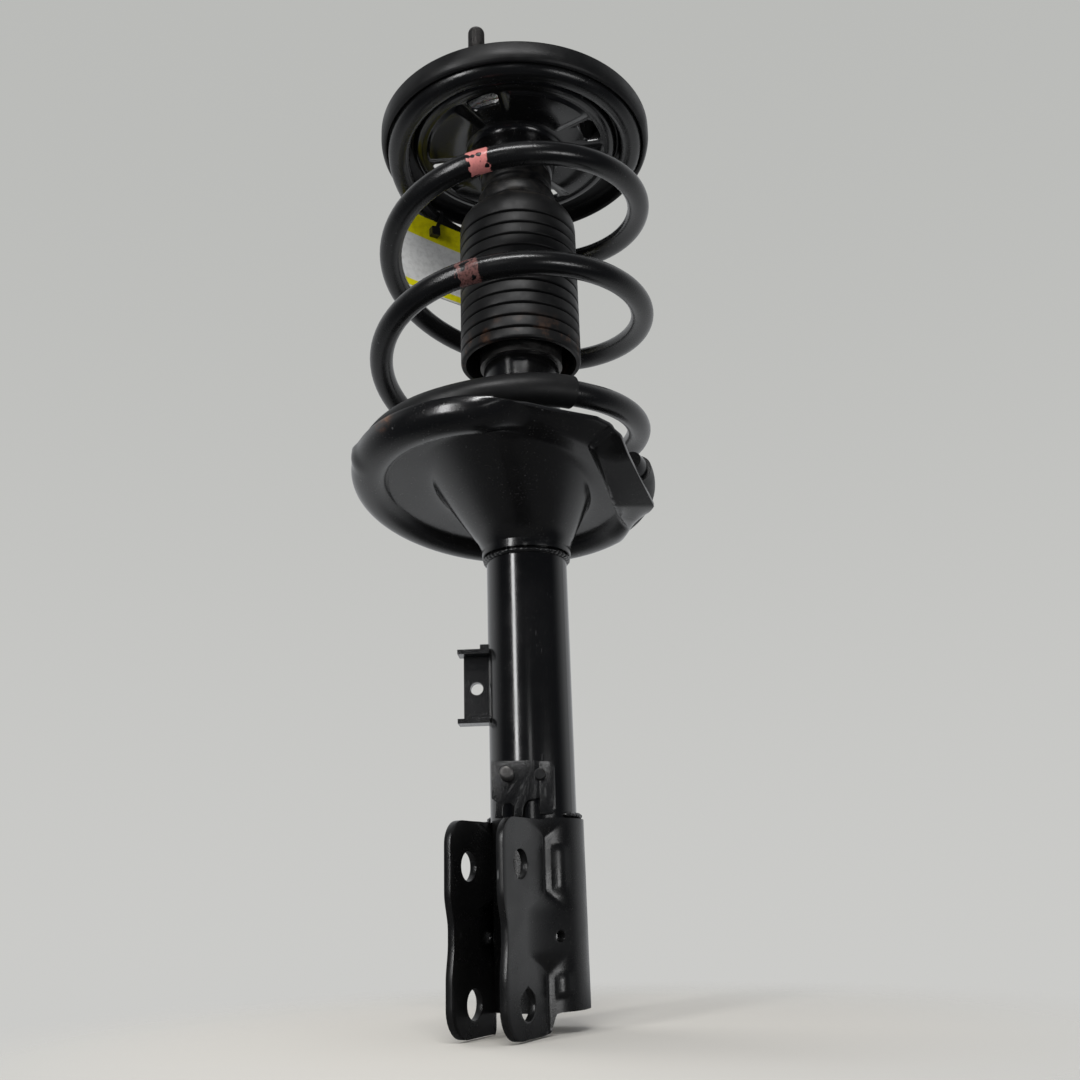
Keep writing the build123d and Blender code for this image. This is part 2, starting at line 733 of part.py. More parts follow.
# ---------------------------------------------------------------- knuckle bracket
# One stamping wrapped round the tube with two flat ears. The plan view is extruded full height
# and then trimmed to the side outline of the ears.
lobe_drop = waist_top + waist_slope
lobe_rise = waist_bottom - waist_slope_low
with BuildPart() as knuckle_bracket:
    with BuildSketch(Plane.XY.offset(ear_bottom)) as plan_view:
        Circle(wrap_r)
        with Locations((0, -ear_reach)):
            Rectangle(2 * ear_outer, ear_reach, align=(Align.CENTER, Align.MIN))
        fillet(plan_view.vertices().filter_by(lambda v: -ear_reach < v.Y < 0), wrap_blend)
        Circle(tube_r, mode=Mode.SUBTRACT)
        with Locations((0, -ear_reach)):
            Rectangle(ear_gap, ear_reach, align=(Align.CENTER, Align.MIN), mode=Mode.SUBTRACT)
    extrude(amount=bracket_top - ear_bottom)
    with BuildSketch(Plane.YZ.offset(-wrap_r)) as side_view:
        with BuildLine():
            Polyline(
                (-ear_reach, ear_top),
                (-ear_reach, lobe_drop),
                (-ear_waist_reach, waist_top),
                (-ear_waist_reach, waist_bottom),
                (-ear_reach, lobe_rise),
                (-ear_reach, ear_bottom),
                (-heel_reach, ear_bottom),
                (0, bracket_bottom),
                (wrap_r, bracket_bottom),
                (wrap_r, bracket_top),
                (-wrap_r, bracket_top),
                (-wrap_r - bracket_sheet, ear_top),
                close=True,
            )
        make_face()
        fillet(side_view.vertices().group_by(Axis.X)[0], ear_round)
    extrude(amount=2 * wrap_r, mode=Mode.INTERSECT)
    # raised pads round the bolt holes, on the outer face of each ear
    for side in (-1, 1):
        outward = Plane(origin=(side * ear_outer, 0, 0), x_dir=(0, 1, 0), z_dir=(1, 0, 0))
        with BuildSketch(outward) as pads:
            with BuildLine():
                Polyline(
                    (-ear_reach + pad_margin, ear_top - pad_margin),
                    (-ear_reach + pad_margin, lobe_drop),
                    (-ear_waist_reach + pad_margin, waist_top),
                    (-bolt_lower_reach, waist_top),
                    (-pad_rear, lobe_drop),
                    (-pad_rear, ear_top - pad_margin),
                    close=True,
                )
            make_face()
            with BuildLine():
                Polyline(
                    (-ear_waist_reach + pad_margin, waist_bottom),
                    (-bolt_lower_reach, waist_bottom),
                    (-pad_rear, lobe_rise),
                    (-pad_rear, ear_bottom + pad_margin),
                    (-ear_reach + pad_margin, ear_bottom + pad_margin),
                    (-ear_reach + pad_margin, lobe_rise),
                    close=True,
                )
            make_face()
            fillet(pads.vertices(), pad_round)
        extrude(amount=side * pad_height)
    # clamp bolt holes through both ears
    with BuildSketch(Plane.YZ.offset(-wrap_r)):
        with Locations((-bolt_upper_reach, bolt_upper), (-bolt_lower_reach, bolt_lower)):
            Circle(bolt_hole_d / 2)
    extrude(amount=2 * wrap_r, mode=Mode.SUBTRACT)
    # small drain window behind the waist of each ear
    with BuildSketch(Plane.YZ.offset(-wrap_r)):
        with Locations((-drain_reach - bracket_sheet, drain_level)):
            RectangleRounded(drain_width, drain_height, drain_round)
    extrude(amount=2 * wrap_r, mode=Mode.SUBTRACT)
save(knuckle_bracket, "knuckle_bracket")

# inner plate that closes the wrap between the ears
with BuildPart() as bracket_inner_plate:
    with BuildSketch(Plane.XY.offset(bracket_bottom)):
        Circle(tube_r + inner_plate_sheet)
        Circle(tube_r, mode=Mode.SUBTRACT)
        with Locations((0, -wrap_r)):
            Rectangle(ear_gap, wrap_r, align=(Align.CENTER, Align.MIN), mode=Mode.INTERSECT)
    extrude(amount=bracket_top - bracket_bottom)
    with BuildSketch(Plane.XZ):
        with Locations((0, drain_level)):
            SlotOverall(plate_slot_length, plate_slot_width, rotation=half_turn / 2)
    extrude(amount=wrap_r, mode=Mode.SUBTRACT)
save(bracket_inner_plate, "bracket_inner_plate")

# two weld runs where the wrap's upper edge meets the tube
with BuildPart() as bracket_welds:
    for side in (0, 1):
        with BuildSketch(radial_plane(weld_turn + side * (half_turn - 2 * weld_turn - weld_span))):
            with BuildLine():
                Polyline(
                    (tube_r, bracket_top),
                    (wrap_r, bracket_top),
                    (tube_r, bracket_top + weld_leg),
                    close=True,
                )
            make_face()
        revolve(axis=Axis.Z, revolution_arc=weld_span)
save(bracket_welds, "bracket_welds")

# ---------------------------------------------------------------- hose bracket on the tube
HOSE_PLANE = radial_plane(hose_turn)
with BuildPart() as hose_bracket:
    # upright web standing out from the tube, with a hook above it
    with BuildSketch(HOSE_PLANE):
        with Locations((tube_r - hose_sheet / 2, hose_top)):
            Rectangle(hose_waist - tube_r + hose_sheet / 2, hose_height,
                      align=(Align.MIN, Align.MAX))
            Rectangle(hose_hook_width + hose_sheet / 2, hose_hook, align=Align.MIN)
    extrude(amount=hose_sheet)
    # upper and lower flanges
    with BuildSketch(HOSE_PLANE):
        for level in (hose_top, hose_top - hose_height + hose_sheet):
            with Locations((tube_r - hose_sheet / 2, level)):
                Rectangle(hose_reach - tube_r + hose_sheet / 2, hose_sheet,
                          align=(Align.MIN, Align.MAX))
    extrude(amount=-hose_flange)
    # their tips run on past the web
    with BuildSketch(HOSE_PLANE):
        for level in (hose_top, hose_top - hose_height + hose_sheet):
            with Locations((hose_waist, level)):
                Rectangle(hose_reach - hose_waist, hose_sheet, align=(Align.MIN, Align.MAX))
    extrude(amount=hose_sheet)
    # boss for the hose clip
    with BuildSketch(HOSE_PLANE.offset(hose_sheet)):
        with Locations((hose_hole_reach, hose_top - hose_height / 2)):
            Circle(hose_boss_d / 2)
    extrude(amount=hose_boss_height)
    with BuildSketch(HOSE_PLANE):
        with Locations((hose_hole_reach, hose_top - hose_height / 2)):
            Circle(hose_hole_d / 2)
    extrude(amount=hose_sheet + hose_boss_height, mode=Mode.SUBTRACT)
    # shaped to the tube
    with BuildSketch(Plane.XY.offset(hose_top + hose_hook)):
        Circle(tube_r)
    extrude(amount=-hose_height - hose_hook, mode=Mode.SUBTRACT)
save(hose_bracket, "hose_bracket")

# ---------------------------------------------------------------- sensor bracket on the tube
sensor_out = Vector(*polar(1, sensor_turn))
SENSOR_PLANE = Plane(origin=(0, 0, sensor_middle), x_dir=(-sensor_out.Y, sensor_out.X, 0),
                     z_dir=(sensor_out.X, sensor_out.Y, 0))
plate_back = tube_r + sensor_fold
plate_front = plate_back + sensor_sheet
with BuildPart() as sensor_bracket:
    # pad shaped to the tube, one corner cut off, over a broader foot
    with BuildSketch(SENSOR_PLANE.offset(tube_r / 2)) as pad_face:
        with Locations((0, -sensor_height / 2)):
            Rectangle(sensor_right, sensor_height, align=Align.MIN)
        chamfer(pad_face.vertices().sort_by(Axis.Y)[-2:].sort_by(Axis.X)[-1], sensor_corner)
        with Locations((0, -sensor_height / 2)):
            Rectangle(sensor_foot, sensor_leg, align=(Align.MIN, Align.MAX))
    extrude(amount=tube_r / 2 + sensor_sheet)
    # fold and the plate that stands off the tube
    with BuildSketch(SENSOR_PLANE.offset(tube_r - sensor_sheet)):
        Rectangle(sensor_sheet, sensor_height, align=(Align.MAX, Align.CENTER))
    extrude(amount=plate_front - tube_r + sensor_sheet)
    with BuildSketch(SENSOR_PLANE.offset(plate_back)) as plate_face:
        Rectangle(sensor_left, sensor_height, align=(Align.MAX, Align.CENTER))
        fillet(plate_face.vertices().group_by(Axis.X)[0], sensor_sheet)
        # forked tail, its slot rounded at the top
        with Locations((-fork_middle, -sensor_height / 2)):
            Rectangle(fork_width, fork_height, align=(Align.CENTER, Align.MAX))
            Rectangle(fork_slot, fork_height, align=(Align.CENTER, Align.MAX),
                      mode=Mode.SUBTRACT)
            Circle(fork_slot / 2, mode=Mode.SUBTRACT)
    extrude(amount=sensor_sheet)
    with BuildSketch(Plane.XY.offset(sensor_middle - sensor_height - sensor_leg)):
        Circle(tube_r)
    extrude(amount=2 * (sensor_height + sensor_leg), mode=Mode.SUBTRACT)
    with BuildSketch(SENSOR_PLANE.offset(plate_back)):
        with Locations((-sensor_stud_left, 0)):
            Circle(sensor_stud_d / 2 + knurl)
    extrude(amount=sensor_sheet, mode=Mode.SUBTRACT)
save(sensor_bracket, "sensor_bracket")

# threaded stud pressed through the plate, its head behind
with BuildPart() as sensor_stud:
    with BuildSketch(SENSOR_PLANE.offset(plate_back)):
        with Locations((-sensor_stud_left, 0)):
            Circle(sensor_stud_d / 2 + knurl)
    extrude(amount=sensor_sheet)
    with BuildSketch(SENSOR_PLANE.offset(plate_front)):
        with Locations((-sensor_stud_left, 0)):
            Circle(sensor_stud_d / 2)
    extrude(amount=sensor_stud_length)
    chamfer(sensor_stud.faces().sort_by(Axis(SENSOR_PLANE.origin, SENSOR_PLANE.z_dir))[-1]
            .edges(), edge_break)
save(sensor_stud, "sensor_stud")

with BuildPart() as sensor_rivet:
    with BuildSketch(SENSOR_PLANE.offset(tube_r + sensor_sheet)):
        with Locations((-rivet_left, 0)):
            Circle(rivet_d / 2)
    extrude(amount=sensor_sheet)
    fillet(sensor_rivet.faces().sort_by(Axis(SENSOR_PLANE.origin, SENSOR_PLANE.z_dir))[-1]
           .edges(), edge_break)
save(sensor_rivet, "sensor_rivet")

# ---------------------------------------------------------------- upper spring seat
rim_r = rim_radius - pad_skirt
flange_r = rim_r - sheet
channel_r = channel_inner - sheet
with BuildPart() as upper_spring_seat:
    revolve(turned([
        (rod_hole_radius, hub_bottom),
        (hub_bottom_radius, hub_bottom),
        (hub_radius, web_under),
        (channel_inner, web_under),
        (channel_inner, rim_top - sheet),
        (flange_r, rim_top - sheet),
        (flange_r, rim_top - rim_drop),
        (rim_r, rim_top - rim_drop),
        (rim_r, rim_top),
        (channel_r, rim_top),
        (channel_r, web_top),
        (hub_radius - sheet, web_top),
        (hub_bottom_radius - sheet, hub_bottom + sheet),
        (rod_hole_radius, hub_bottom + sheet),
    ]), axis=Axis.Z)
    fillet(upper_spring_seat.edges().filter_by(GeomType.CIRCLE).filter_by(
        lambda edge: edge.radius > channel_inner and edge.center().Z > rim_top - edge_break),
        sheet_round)
    # kidney embosses pressed down between the windows
    with BuildSketch(Plane.XY.offset(web_under)):
        with PolarLocations(0, upper_window_count, start_angle=emboss_first):
            add(kidney(0, emboss_span, emboss_inner, upper_window_outer, window_round))
    extrude(amount=-emboss_depth, taper=pocket_draft)
    with BuildSketch(Plane.XY.offset(web_top)):
        with PolarLocations(0, upper_window_count, start_angle=emboss_first):
            add(kidney(0, emboss_span, emboss_inner + sheet, upper_window_outer - sheet,
                       window_round))
    extrude(amount=-emboss_depth, taper=pocket_draft, mode=Mode.SUBTRACT)
    # windows in the valleys
    with BuildSketch(Plane.XY.offset(web_top)):
        with PolarLocations(0, upper_window_count, start_angle=upper_window_first):
            add(kidney(0, upper_window_span, upper_window_inner, upper_window_outer,
                       window_round))
    extrude(amount=-emboss_depth - 2 * sheet, mode=Mode.SUBTRACT)
save(upper_spring_seat, "upper_spring_seat")

# rubber pad: lines the channel over the end coil and wraps round the steel rim
lining_r = coil_radius + wire_r + seat_gap
pad_bottom = rim_top - rim_drop - pad_skirt
pad_under = rim_top - sheet - pad_roof
with BuildPart() as upper_spring_pad:
    revolve(turned([
        (channel_inner, rim_top - sheet),
        (flange_r, rim_top - sheet),
        (flange_r, rim_top - rim_drop),
        (rim_r, rim_top - rim_drop),
        (rim_r, rim_top - sheet),
        (rim_radius, rim_top - sheet),
        (rim_radius, pad_bottom),
        (lining_r, pad_bottom),
        (lining_r, pad_under),
        (channel_inner + pad_inner_wall, pad_under),
        (channel_inner + pad_inner_wall, web_top),
        (channel_inner, web_top),
    ]), axis=Axis.Z)
save(upper_spring_pad, "upper_spring_pad")

# ---------------------------------------------------------------- strut bearing
race_inner = bearing_radius - race_half_width
race_outer = bearing_radius + race_half_width
with BuildPart() as bearing_lower_race:
    with BuildSketch(Plane.XY.offset(web_top)):
        Circle(race_outer)
        Circle(race_inner, mode=Mode.SUBTRACT)
    extrude(amount=race_height)
    with BuildSketch(Plane.XZ):
        with Locations((bearing_radius, ball_height)):
            Circle(ball_r + running)
    revolve(axis=Axis.Z, mode=Mode.SUBTRACT)
save(bearing_lower_race, "bearing_lower_race")

with BuildPart() as bearing_upper_race:
    with BuildSketch(Plane.XY.offset(upper_race_bottom)):
        Circle(race_outer)
        Circle(race_inner, mode=Mode.SUBTRACT)
    extrude(amount=race_height)
    with BuildSketch(Plane.XZ):
        with Locations((bearing_radius, ball_height)):
            Circle(ball_r + running)
    revolve(axis=Axis.Z, mode=Mode.SUBTRACT)
save(bearing_upper_race, "bearing_upper_race")

with BuildPart() as bearing_cage:
    with BuildSketch(Plane.XY.offset(ball_height - cage_height / 2)):
        Circle(bearing_radius + cage_half_width)
        Circle(bearing_radius - cage_half_width, mode=Mode.SUBTRACT)
        with PolarLocations(bearing_radius, ball_count):
            Circle(ball_r, mode=Mode.SUBTRACT)
    extrude(amount=cage_height)
save(bearing_cage, "bearing_cage")

with BuildPart() as bearing_balls:
    with Locations((0, 0, ball_height)):
        with PolarLocations(bearing_radius, ball_count):
            Sphere(ball_r)
save(bearing_balls, "bearing_balls")

# ---------------------------------------------------------------- upper mount
stud_circle_r = stud_circle_d / 2
hat_inner = hat_radius - hat_wall
with BuildPart() as mount_plate:
    # three-lobed plate: each arm tapers from the middle disc out to its stud
    with BuildSketch(Plane.XY.offset(-mount_sheet)):
        Circle(mount_disc_radius)
        for turn in range(stud_count):
            along = stud_angle + 360 * turn / stud_count
            with BuildSketch(Plane.XY):
                Circle(hat_radius)
                with Locations(polar(stud_circle_r, along)):
                    Circle(lobe_radius)
                make_hull()
    extrude(amount=mount_sheet)
    # hat over the rubber
    with BuildSketch(Plane.XY):
        Circle(hat_radius)
    extrude(amount=hat_top)
    fillet(mount_plate.edges().filter_by(GeomType.CIRCLE).group_by(Axis.Z)[-1], hat_round)
    with BuildSketch(Plane.XY.offset(-mount_sheet)):
        Circle(hat_inner)
    extrude(amount=mount_sheet + hat_top - hat_wall, mode=Mode.SUBTRACT)
    with BuildSketch(Plane.XY):
        Circle(hat_hole_radius)
    extrude(amount=hat_top, mode=Mode.SUBTRACT)
    with BuildSketch(Plane.XY.offset(-mount_sheet)):
        with PolarLocations(stud_circle_r, stud_count, start_angle=stud_angle):
            Circle(stud_d / 2 + knurl)
    extrude(amount=mount_sheet, mode=Mode.SUBTRACT)
save(mount_plate, "mount_plate")

# stamped ring under the plate that carries the upper race
with BuildPart() as mount_retainer:
    revolve(turned([
        (race_inner, upper_race_top),
        (race_outer + retainer_sheet, upper_race_top),
        (race_outer + retainer_sheet, -mount_sheet - retainer_sheet),
        (retainer_radius + retainer_sheet, -mount_sheet - retainer_sheet),
        (retainer_radius + retainer_sheet, -mount_sheet),
        (race_outer, -mount_sheet),
        (race_outer, upper_race_top + retainer_sheet),
        (race_inner, upper_race_top + retainer_sheet),
    ]), axis=Axis.Z)
save(mount_retainer, "mount_retainer")

with BuildPart() as mount_studs:
    with BuildSketch(Plane.XY.offset(-mount_sheet - stud_head_height)):
        with PolarLocations(stud_circle_r, stud_count, start_angle=stud_angle):
            Circle(stud_head_radius)
    extrude(amount=stud_head_height)
    with BuildSketch(Plane.XY.offset(-mount_sheet)):
        with PolarLocations(stud_circle_r, stud_count, start_angle=stud_angle):
            Circle(stud_d / 2 + knurl)
    extrude(amount=mount_sheet)
    with BuildSketch(Plane.XY):
        with PolarLocations(stud_circle_r, stud_count, start_angle=stud_angle):
            Circle(stud_d / 2)
    extrude(amount=stud_tip)
    chamfer(mount_studs.edges().group_by(Axis.Z)[-1], stud_chamfer)
save(mount_studs, "mount_studs")

# steel core that the rod clamps to, with its lower flange
core_flange_top = rod_shoulder + core_flange_height
with BuildPart() as mount_core:
    revolve(turned([
        (thread_r, rod_shoulder),
        (core_flange_radius, rod_shoulder),
        (core_flange_radius, core_flange_top),
        (core_radius, core_flange_top),
        (core_radius, core_top),
        (thread_r, core_top),
    ]), axis=Axis.Z)
save(mount_core, "mount_core")

# rubber bonded between the core and the hat
with BuildPart() as mount_rubber:
    revolve(turned([
        (core_radius, core_flange_top),
        (core_flange_radius, core_flange_top),
        (hat_inner, -mount_sheet),
        (hat_inner, hat_top - hat_wall),
        (hat_hole_radius, hat_top - hat_wall),
        (core_radius, hat_top - 2 * hat_wall),
    ]), axis=Axis.Z)
save(mount_rubber, "mount_rubber")

with BuildPart() as rod_washer:
    with BuildSketch(Plane.XY.offset(core_top)):
        Circle(washer_radius)
        Circle(thread_r, mode=Mode.SUBTRACT)
    extrude(amount=washer_height)
    fillet(rod_washer.edges().group_by(Axis.Z)[-1].sort_by(SortBy.RADIUS)[-1:], edge_break)
save(rod_washer, "rod_washer")

# rod nut: a hexagon with its corners turned off
with BuildPart() as rod_nut:
    with BuildSketch(Plane.XY.offset(core_top + washer_height)):
        RegularPolygon(nut_across_flats / 2, 6, major_radius=False)
    extrude(amount=nut_height)
    with BuildSketch(Plane.XY.offset(core_top + washer_height)):
        Circle(nut_corner_radius)
    extrude(amount=nut_height, taper=-stud_chamfer, mode=Mode.INTERSECT)
    with BuildSketch(Plane.XY.offset(core_top + washer_height)):
        Circle(thread_r)
    extrude(amount=nut_height, mode=Mode.SUBTRACT)
save(rod_nut, "rod_nut")

# ---------------------------------------------------------------- bump stop
cup_r = bump_radius + cup_wall
with BuildPart() as bump_stop_cup:
    revolve(turned([
        (rod_hole_radius, hub_bottom),
        (cup_r, hub_bottom),
        (cup_r, hub_bottom - cup_depth),
        (bump_radius, hub_bottom - cup_depth),
        (bump_radius, hub_bottom - cup_wall),
        (rod_hole_radius, hub_bottom - cup_wall),
    ]), axis=Axis.Z)
save(bump_stop_cup, "bump_stop_cup")

# foam stop: a straight neck held by the cup, then rings that narrow towards the tip
bump_top = hub_bottom - cup_wall
bump_free = bump_length - cup_depth + cup_wall
ring_pitch = bump_free / bump_rings
bump_bore = rod_r + bump_play
bump_face = [(bump_bore, bump_top), (bump_radius, bump_top),
             (bump_radius, bump_top - cup_depth + cup_wall)]
for ring in range(bump_rings):
    ring_top = bump_top - cup_depth + cup_wall - ring * ring_pitch
    bump_face.append((bump_radius - bump_waist, ring_top - ring_pitch * bump_groove))
    bump_face.append((bump_radius - edge_break * (ring + 1), ring_top - ring_pitch * bump_crown))
bump_face.append((bump_radius - bump_tip, bump_top - bump_length))
bump_face.append((bump_bore, bump_top - bump_length))
with BuildPart() as bump_stop:
    revolve(turned(bump_face), axis=Axis.Z)
save(bump_stop, "bump_stop")

# ---------------------------------------------------------------- dust boot
rib_pitch = (boot_shoulder - boot_bottom) / boot_ribs
valley_r = boot_radius - boot_valley


def boot_outline(shrink):
    """Outer side of the boot from its bead down to the open end, moved in by shrink."""
    points = [
        (boot_bead_radius - shrink, hub_bottom),
        (boot_bead_radius - shrink, hub_bottom - boot_bead_height),
        (boot_neck_radius - shrink, hub_bottom - boot_bead_height - boot_wall),
        (boot_neck_radius - shrink, boot_neck_bottom),
        (valley_r - shrink, boot_shoulder + boot_wall),
    ]
    for rib in range(boot_ribs):
        top = boot_shoulder - rib * rib_pitch
        points.append((boot_radius - shrink, top - rib_pitch * rib_crest_start))
        points.append((boot_radius - shrink, top - rib_pitch * rib_crest_end))
        points.append((valley_r - shrink, top - rib_pitch * rib_foot))
    return points


outer_side = boot_outline(0)
inner_side = boot_outline(boot_wall)[2:]
neck_inner = boot_neck_radius - boot_wall
with BuildPart() as dust_boot:
    revolve(turned(outer_side + [(valley_r, boot_bottom), (valley_r - boot_wall, boot_bottom)]
                   + inner_side[::-1] + [(neck_inner, hub_bottom)]), axis=Axis.Z)
save(dust_boot, "dust_boot")
# ---------------------------------------------------------------- hang tag and its tie
# A rigid card hung inside the upper coil: the tie loops round the wire, its strap comes down
# the card's inner face to the head, and a button outside keeps the card on.
tie_point = spring_path @ tie_share
tie_run = spring_path % tie_share
tie_out = Vector(tie_point.X, tie_point.Y, 0).normalized()
loop_r = wire_r + tie_clearance
tag_out = Vector(*polar(1, tag_turn))
tag_side = Vector(0, 0, 1).cross(tag_out)
tag_hang = radians(tag_lean)
tag_hole = tag_out * tag_reach + tag_side * tag_along + Vector(0, 0, tag_level)
TAG_PLANE = Plane(
    origin=tag_hole,
    x_dir=tag_side * cos(tag_hang) + Vector(0, 0, sin(tag_hang)),
    z_dir=tag_out,
)

with BuildPart() as hang_tag:
    with BuildSketch(TAG_PLANE):
        with Locations((0, tag_hole_y - tag_height / 2)):
            RectangleRounded(tag_width, tag_height, tag_round)
        Circle(tag_hole_d / 2, mode=Mode.SUBTRACT)
    extrude(amount=tag_thickness)
save(hang_tag, "hang_tag")

strap_top = tie_point - tie_out * (loop_r + tie_thickness / 2)
strap_drop = tag_hole - tag_out * (tie_head_depth - tie_thickness) - strap_top
with BuildPart() as tag_tie:
    # loop round the wire
    with BuildSketch(Plane(origin=tie_point - tie_run * tie_width / 2, z_dir=tie_run)):
        Circle(loop_r + tie_thickness)
        Circle(loop_r, mode=Mode.SUBTRACT)
    extrude(amount=tie_width)
    # strap from the loop down to the head
    with BuildSketch(Plane(origin=strap_top, x_dir=tag_side, z_dir=strap_drop)):
        Rectangle(tie_width, tie_thickness)
    extrude(amount=strap_drop.length)
    # head against the card, neck through it and the button outside
    with BuildSketch(TAG_PLANE):
        RectangleRounded(tie_head, tie_head, edge_break)
    extrude(amount=-tie_head_depth)
    with BuildSketch(TAG_PLANE):
        Circle(tag_hole_d / 2 - running)
    extrude(amount=tag_thickness)
    with BuildSketch(TAG_PLANE.offset(tag_thickness)):
        Circle(tie_button_d / 2)
    extrude(amount=tie_thickness)
save(tag_tie, "tag_tie")
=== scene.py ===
# %% [markdown]
# # A suspension strut: damper, coil spring, spring seats, upper mount and knuckle bracket
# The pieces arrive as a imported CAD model, the frame. Most keep their shape, and this lesson
# gives each of them a finish. Some are built again in Blender, in the place of the CAD piece:
# the spring that has to shorten as the strut moves, the stamped seats and brackets, the boot
# and the seat's rubber, screw threads, weld beads and the card tag.
# Everything is in metres. Height 0 is the face of the upper mount, on the strut's axis.

import json
import math

import bmesh
import bpy
import numpy as np
from mathutils import Matrix, Vector, noise


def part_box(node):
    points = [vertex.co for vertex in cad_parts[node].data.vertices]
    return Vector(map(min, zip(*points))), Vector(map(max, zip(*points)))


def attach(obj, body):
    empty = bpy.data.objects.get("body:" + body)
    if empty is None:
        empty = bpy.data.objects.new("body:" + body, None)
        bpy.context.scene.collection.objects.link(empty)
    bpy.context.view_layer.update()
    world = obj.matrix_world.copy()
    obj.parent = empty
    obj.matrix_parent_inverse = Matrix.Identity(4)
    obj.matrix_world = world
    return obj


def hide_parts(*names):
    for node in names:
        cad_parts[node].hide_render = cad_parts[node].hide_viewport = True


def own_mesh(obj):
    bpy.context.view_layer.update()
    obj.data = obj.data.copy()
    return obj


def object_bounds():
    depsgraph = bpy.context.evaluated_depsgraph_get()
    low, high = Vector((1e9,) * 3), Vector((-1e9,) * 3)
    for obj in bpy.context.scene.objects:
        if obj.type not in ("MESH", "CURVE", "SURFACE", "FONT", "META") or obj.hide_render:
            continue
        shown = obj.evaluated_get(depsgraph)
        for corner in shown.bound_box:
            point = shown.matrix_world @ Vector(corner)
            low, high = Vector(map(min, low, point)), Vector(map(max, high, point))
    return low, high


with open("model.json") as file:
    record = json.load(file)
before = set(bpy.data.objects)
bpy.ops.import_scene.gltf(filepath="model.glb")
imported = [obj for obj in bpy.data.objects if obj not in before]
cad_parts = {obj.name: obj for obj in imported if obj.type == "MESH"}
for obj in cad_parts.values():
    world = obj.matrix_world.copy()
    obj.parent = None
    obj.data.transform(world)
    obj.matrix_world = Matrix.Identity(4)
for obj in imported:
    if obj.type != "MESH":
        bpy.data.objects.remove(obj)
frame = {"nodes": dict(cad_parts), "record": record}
cad_low, cad_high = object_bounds()
print("CAD box, mm:", [round(1000 * side) for side in cad_high - cad_low])

# %% [markdown]
# ## The camera
# A lens as long as the sensor is wide looks like a phone held about 60 cm away. The camera
# stands low, in front of the bracket's ears, and looks up along the strut, so the bracket
# looks large and the mount small. Three turns aim it: heading, then tilt, then a small roll.

# %% Place and aim the camera
camera_place = Vector((0.2709, -0.5142, -0.4827))
heading, tilt, roll = math.radians(27.0), math.radians(18.5), math.radians(-1.82)
lens_mm = 36.0

lens = bpy.data.cameras.new("camera")
lens.sensor_width = lens_mm
lens.lens = lens_mm
lens.clip_start = 0.01
camera = bpy.data.objects.new("camera", lens)
bpy.context.scene.collection.objects.link(camera)
turn = (Matrix.Rotation(heading, 4, "Z") @ Matrix.Rotation(math.pi / 2 + tilt, 4, "X")
        @ Matrix.Rotation(roll, 4, "Z"))
camera.matrix_world = Matrix.Translation(camera_place) @ turn
bpy.context.scene.camera = camera
print("the camera stands", round(camera_place.length, 3), "m from the mount's face")

# %% [markdown]
# ## Small helpers for node materials
# A finish is a tree of shader nodes. Two short helpers keep the cells readable: one starts an
# empty material, the other adds a node, sets its values and links its sockets.

# %% Node helpers
def new_tree(name):
    """An empty material: returns the material and its node tree."""
    finish = bpy.data.materials.new(name)
    finish.use_nodes = True
    finish.node_tree.nodes.clear()
    return finish, finish.node_tree


def add(tree, kind, inputs=None, **settings):
    """Adds a node, sets its properties, and sets or links its inputs."""
    node = tree.nodes.new("ShaderNode" + kind)
    for key, value in settings.items():
        setattr(node, key, value)
    for key, value in (inputs or {}).items():
        if isinstance(value, bpy.types.NodeSocket):
            tree.links.new(value, node.inputs[key])
        else:
            node.inputs[key].default_value = value
    return node


print("node helpers ready")

# %% [markdown]
# ## Numbers, noise and colour in nodes
# Every finish below needs the same four steps: arithmetic, a soft threshold, a noise and a mix
# of two colours. Each is one node, so each gets a helper that is called in one line.

# %% Maths, noise and mix helpers
def maths(tree, operation, first, second=0.0, clamp=False):
    """One Math node; each operand is a number or a socket."""
    node = add(tree, "Math", {0: first, 1: second}, operation=operation, use_clamp=clamp)
    return node.outputs[0]


def fit(tree, value, low, high, to_low=0.0, to_high=1.0):
    """Maps a value from one range to another, smoothly, and stops at the ends."""
    node = add(tree, "MapRange", {"Value": value, "From Min": low, "From Max": high,
                                  "To Min": to_low, "To Max": to_high},
               interpolation_type="SMOOTHSTEP", clamp=True)
    return node.outputs["Result"]


def speckle(tree, place, scale, detail=3.0, roughness=0.6):
    """Soft noise between 0 and 1. Scale is in features per metre."""
    node = add(tree, "TexNoise", {"Vector": place, "Scale": scale, "Detail": detail,
                                  "Roughness": roughness})
    return node.outputs["Fac"]


def mix_colour(tree, share, first, second):
    """Mixes two colours; each is a tuple or a socket."""
    node = tree.nodes.new("ShaderNodeMix")
    node.data_type = "RGBA"
    for key, value in ((0, share), (6, first), (7, second)):
        if isinstance(value, bpy.types.NodeSocket):
            tree.links.new(value, node.inputs[key])
        elif key == 0:
            node.inputs[key].default_value = value
        else:
            node.inputs[key].default_value = (*value, 1.0)
    return node.outputs[2]


def grey(value, warmth=0.0):
    """A grey, a little warmer or cooler, as linear red, green and blue."""
    return (value * (1 + warmth), value, value * (1 - warmth))


print("grey(0.005) is", grey(0.005))

# %% [markdown]
# ## One recipe for black paint
# Nearly every piece is black, and what tells them apart is gloss, dust and wear. One recipe
# makes them all: a dark base, a bump as fine as orange peel, greasy patches that change the
# roughness, pale dust that has settled in specks, and a few bright scuffs. The texture is
# read from the object's own coordinates, so its scale is the same on every piece.

# %% The black paint recipe
def object_place(tree):
    """Coordinates in metres, in the row frame."""
    return add(tree, "TexCoord").outputs["Object"]


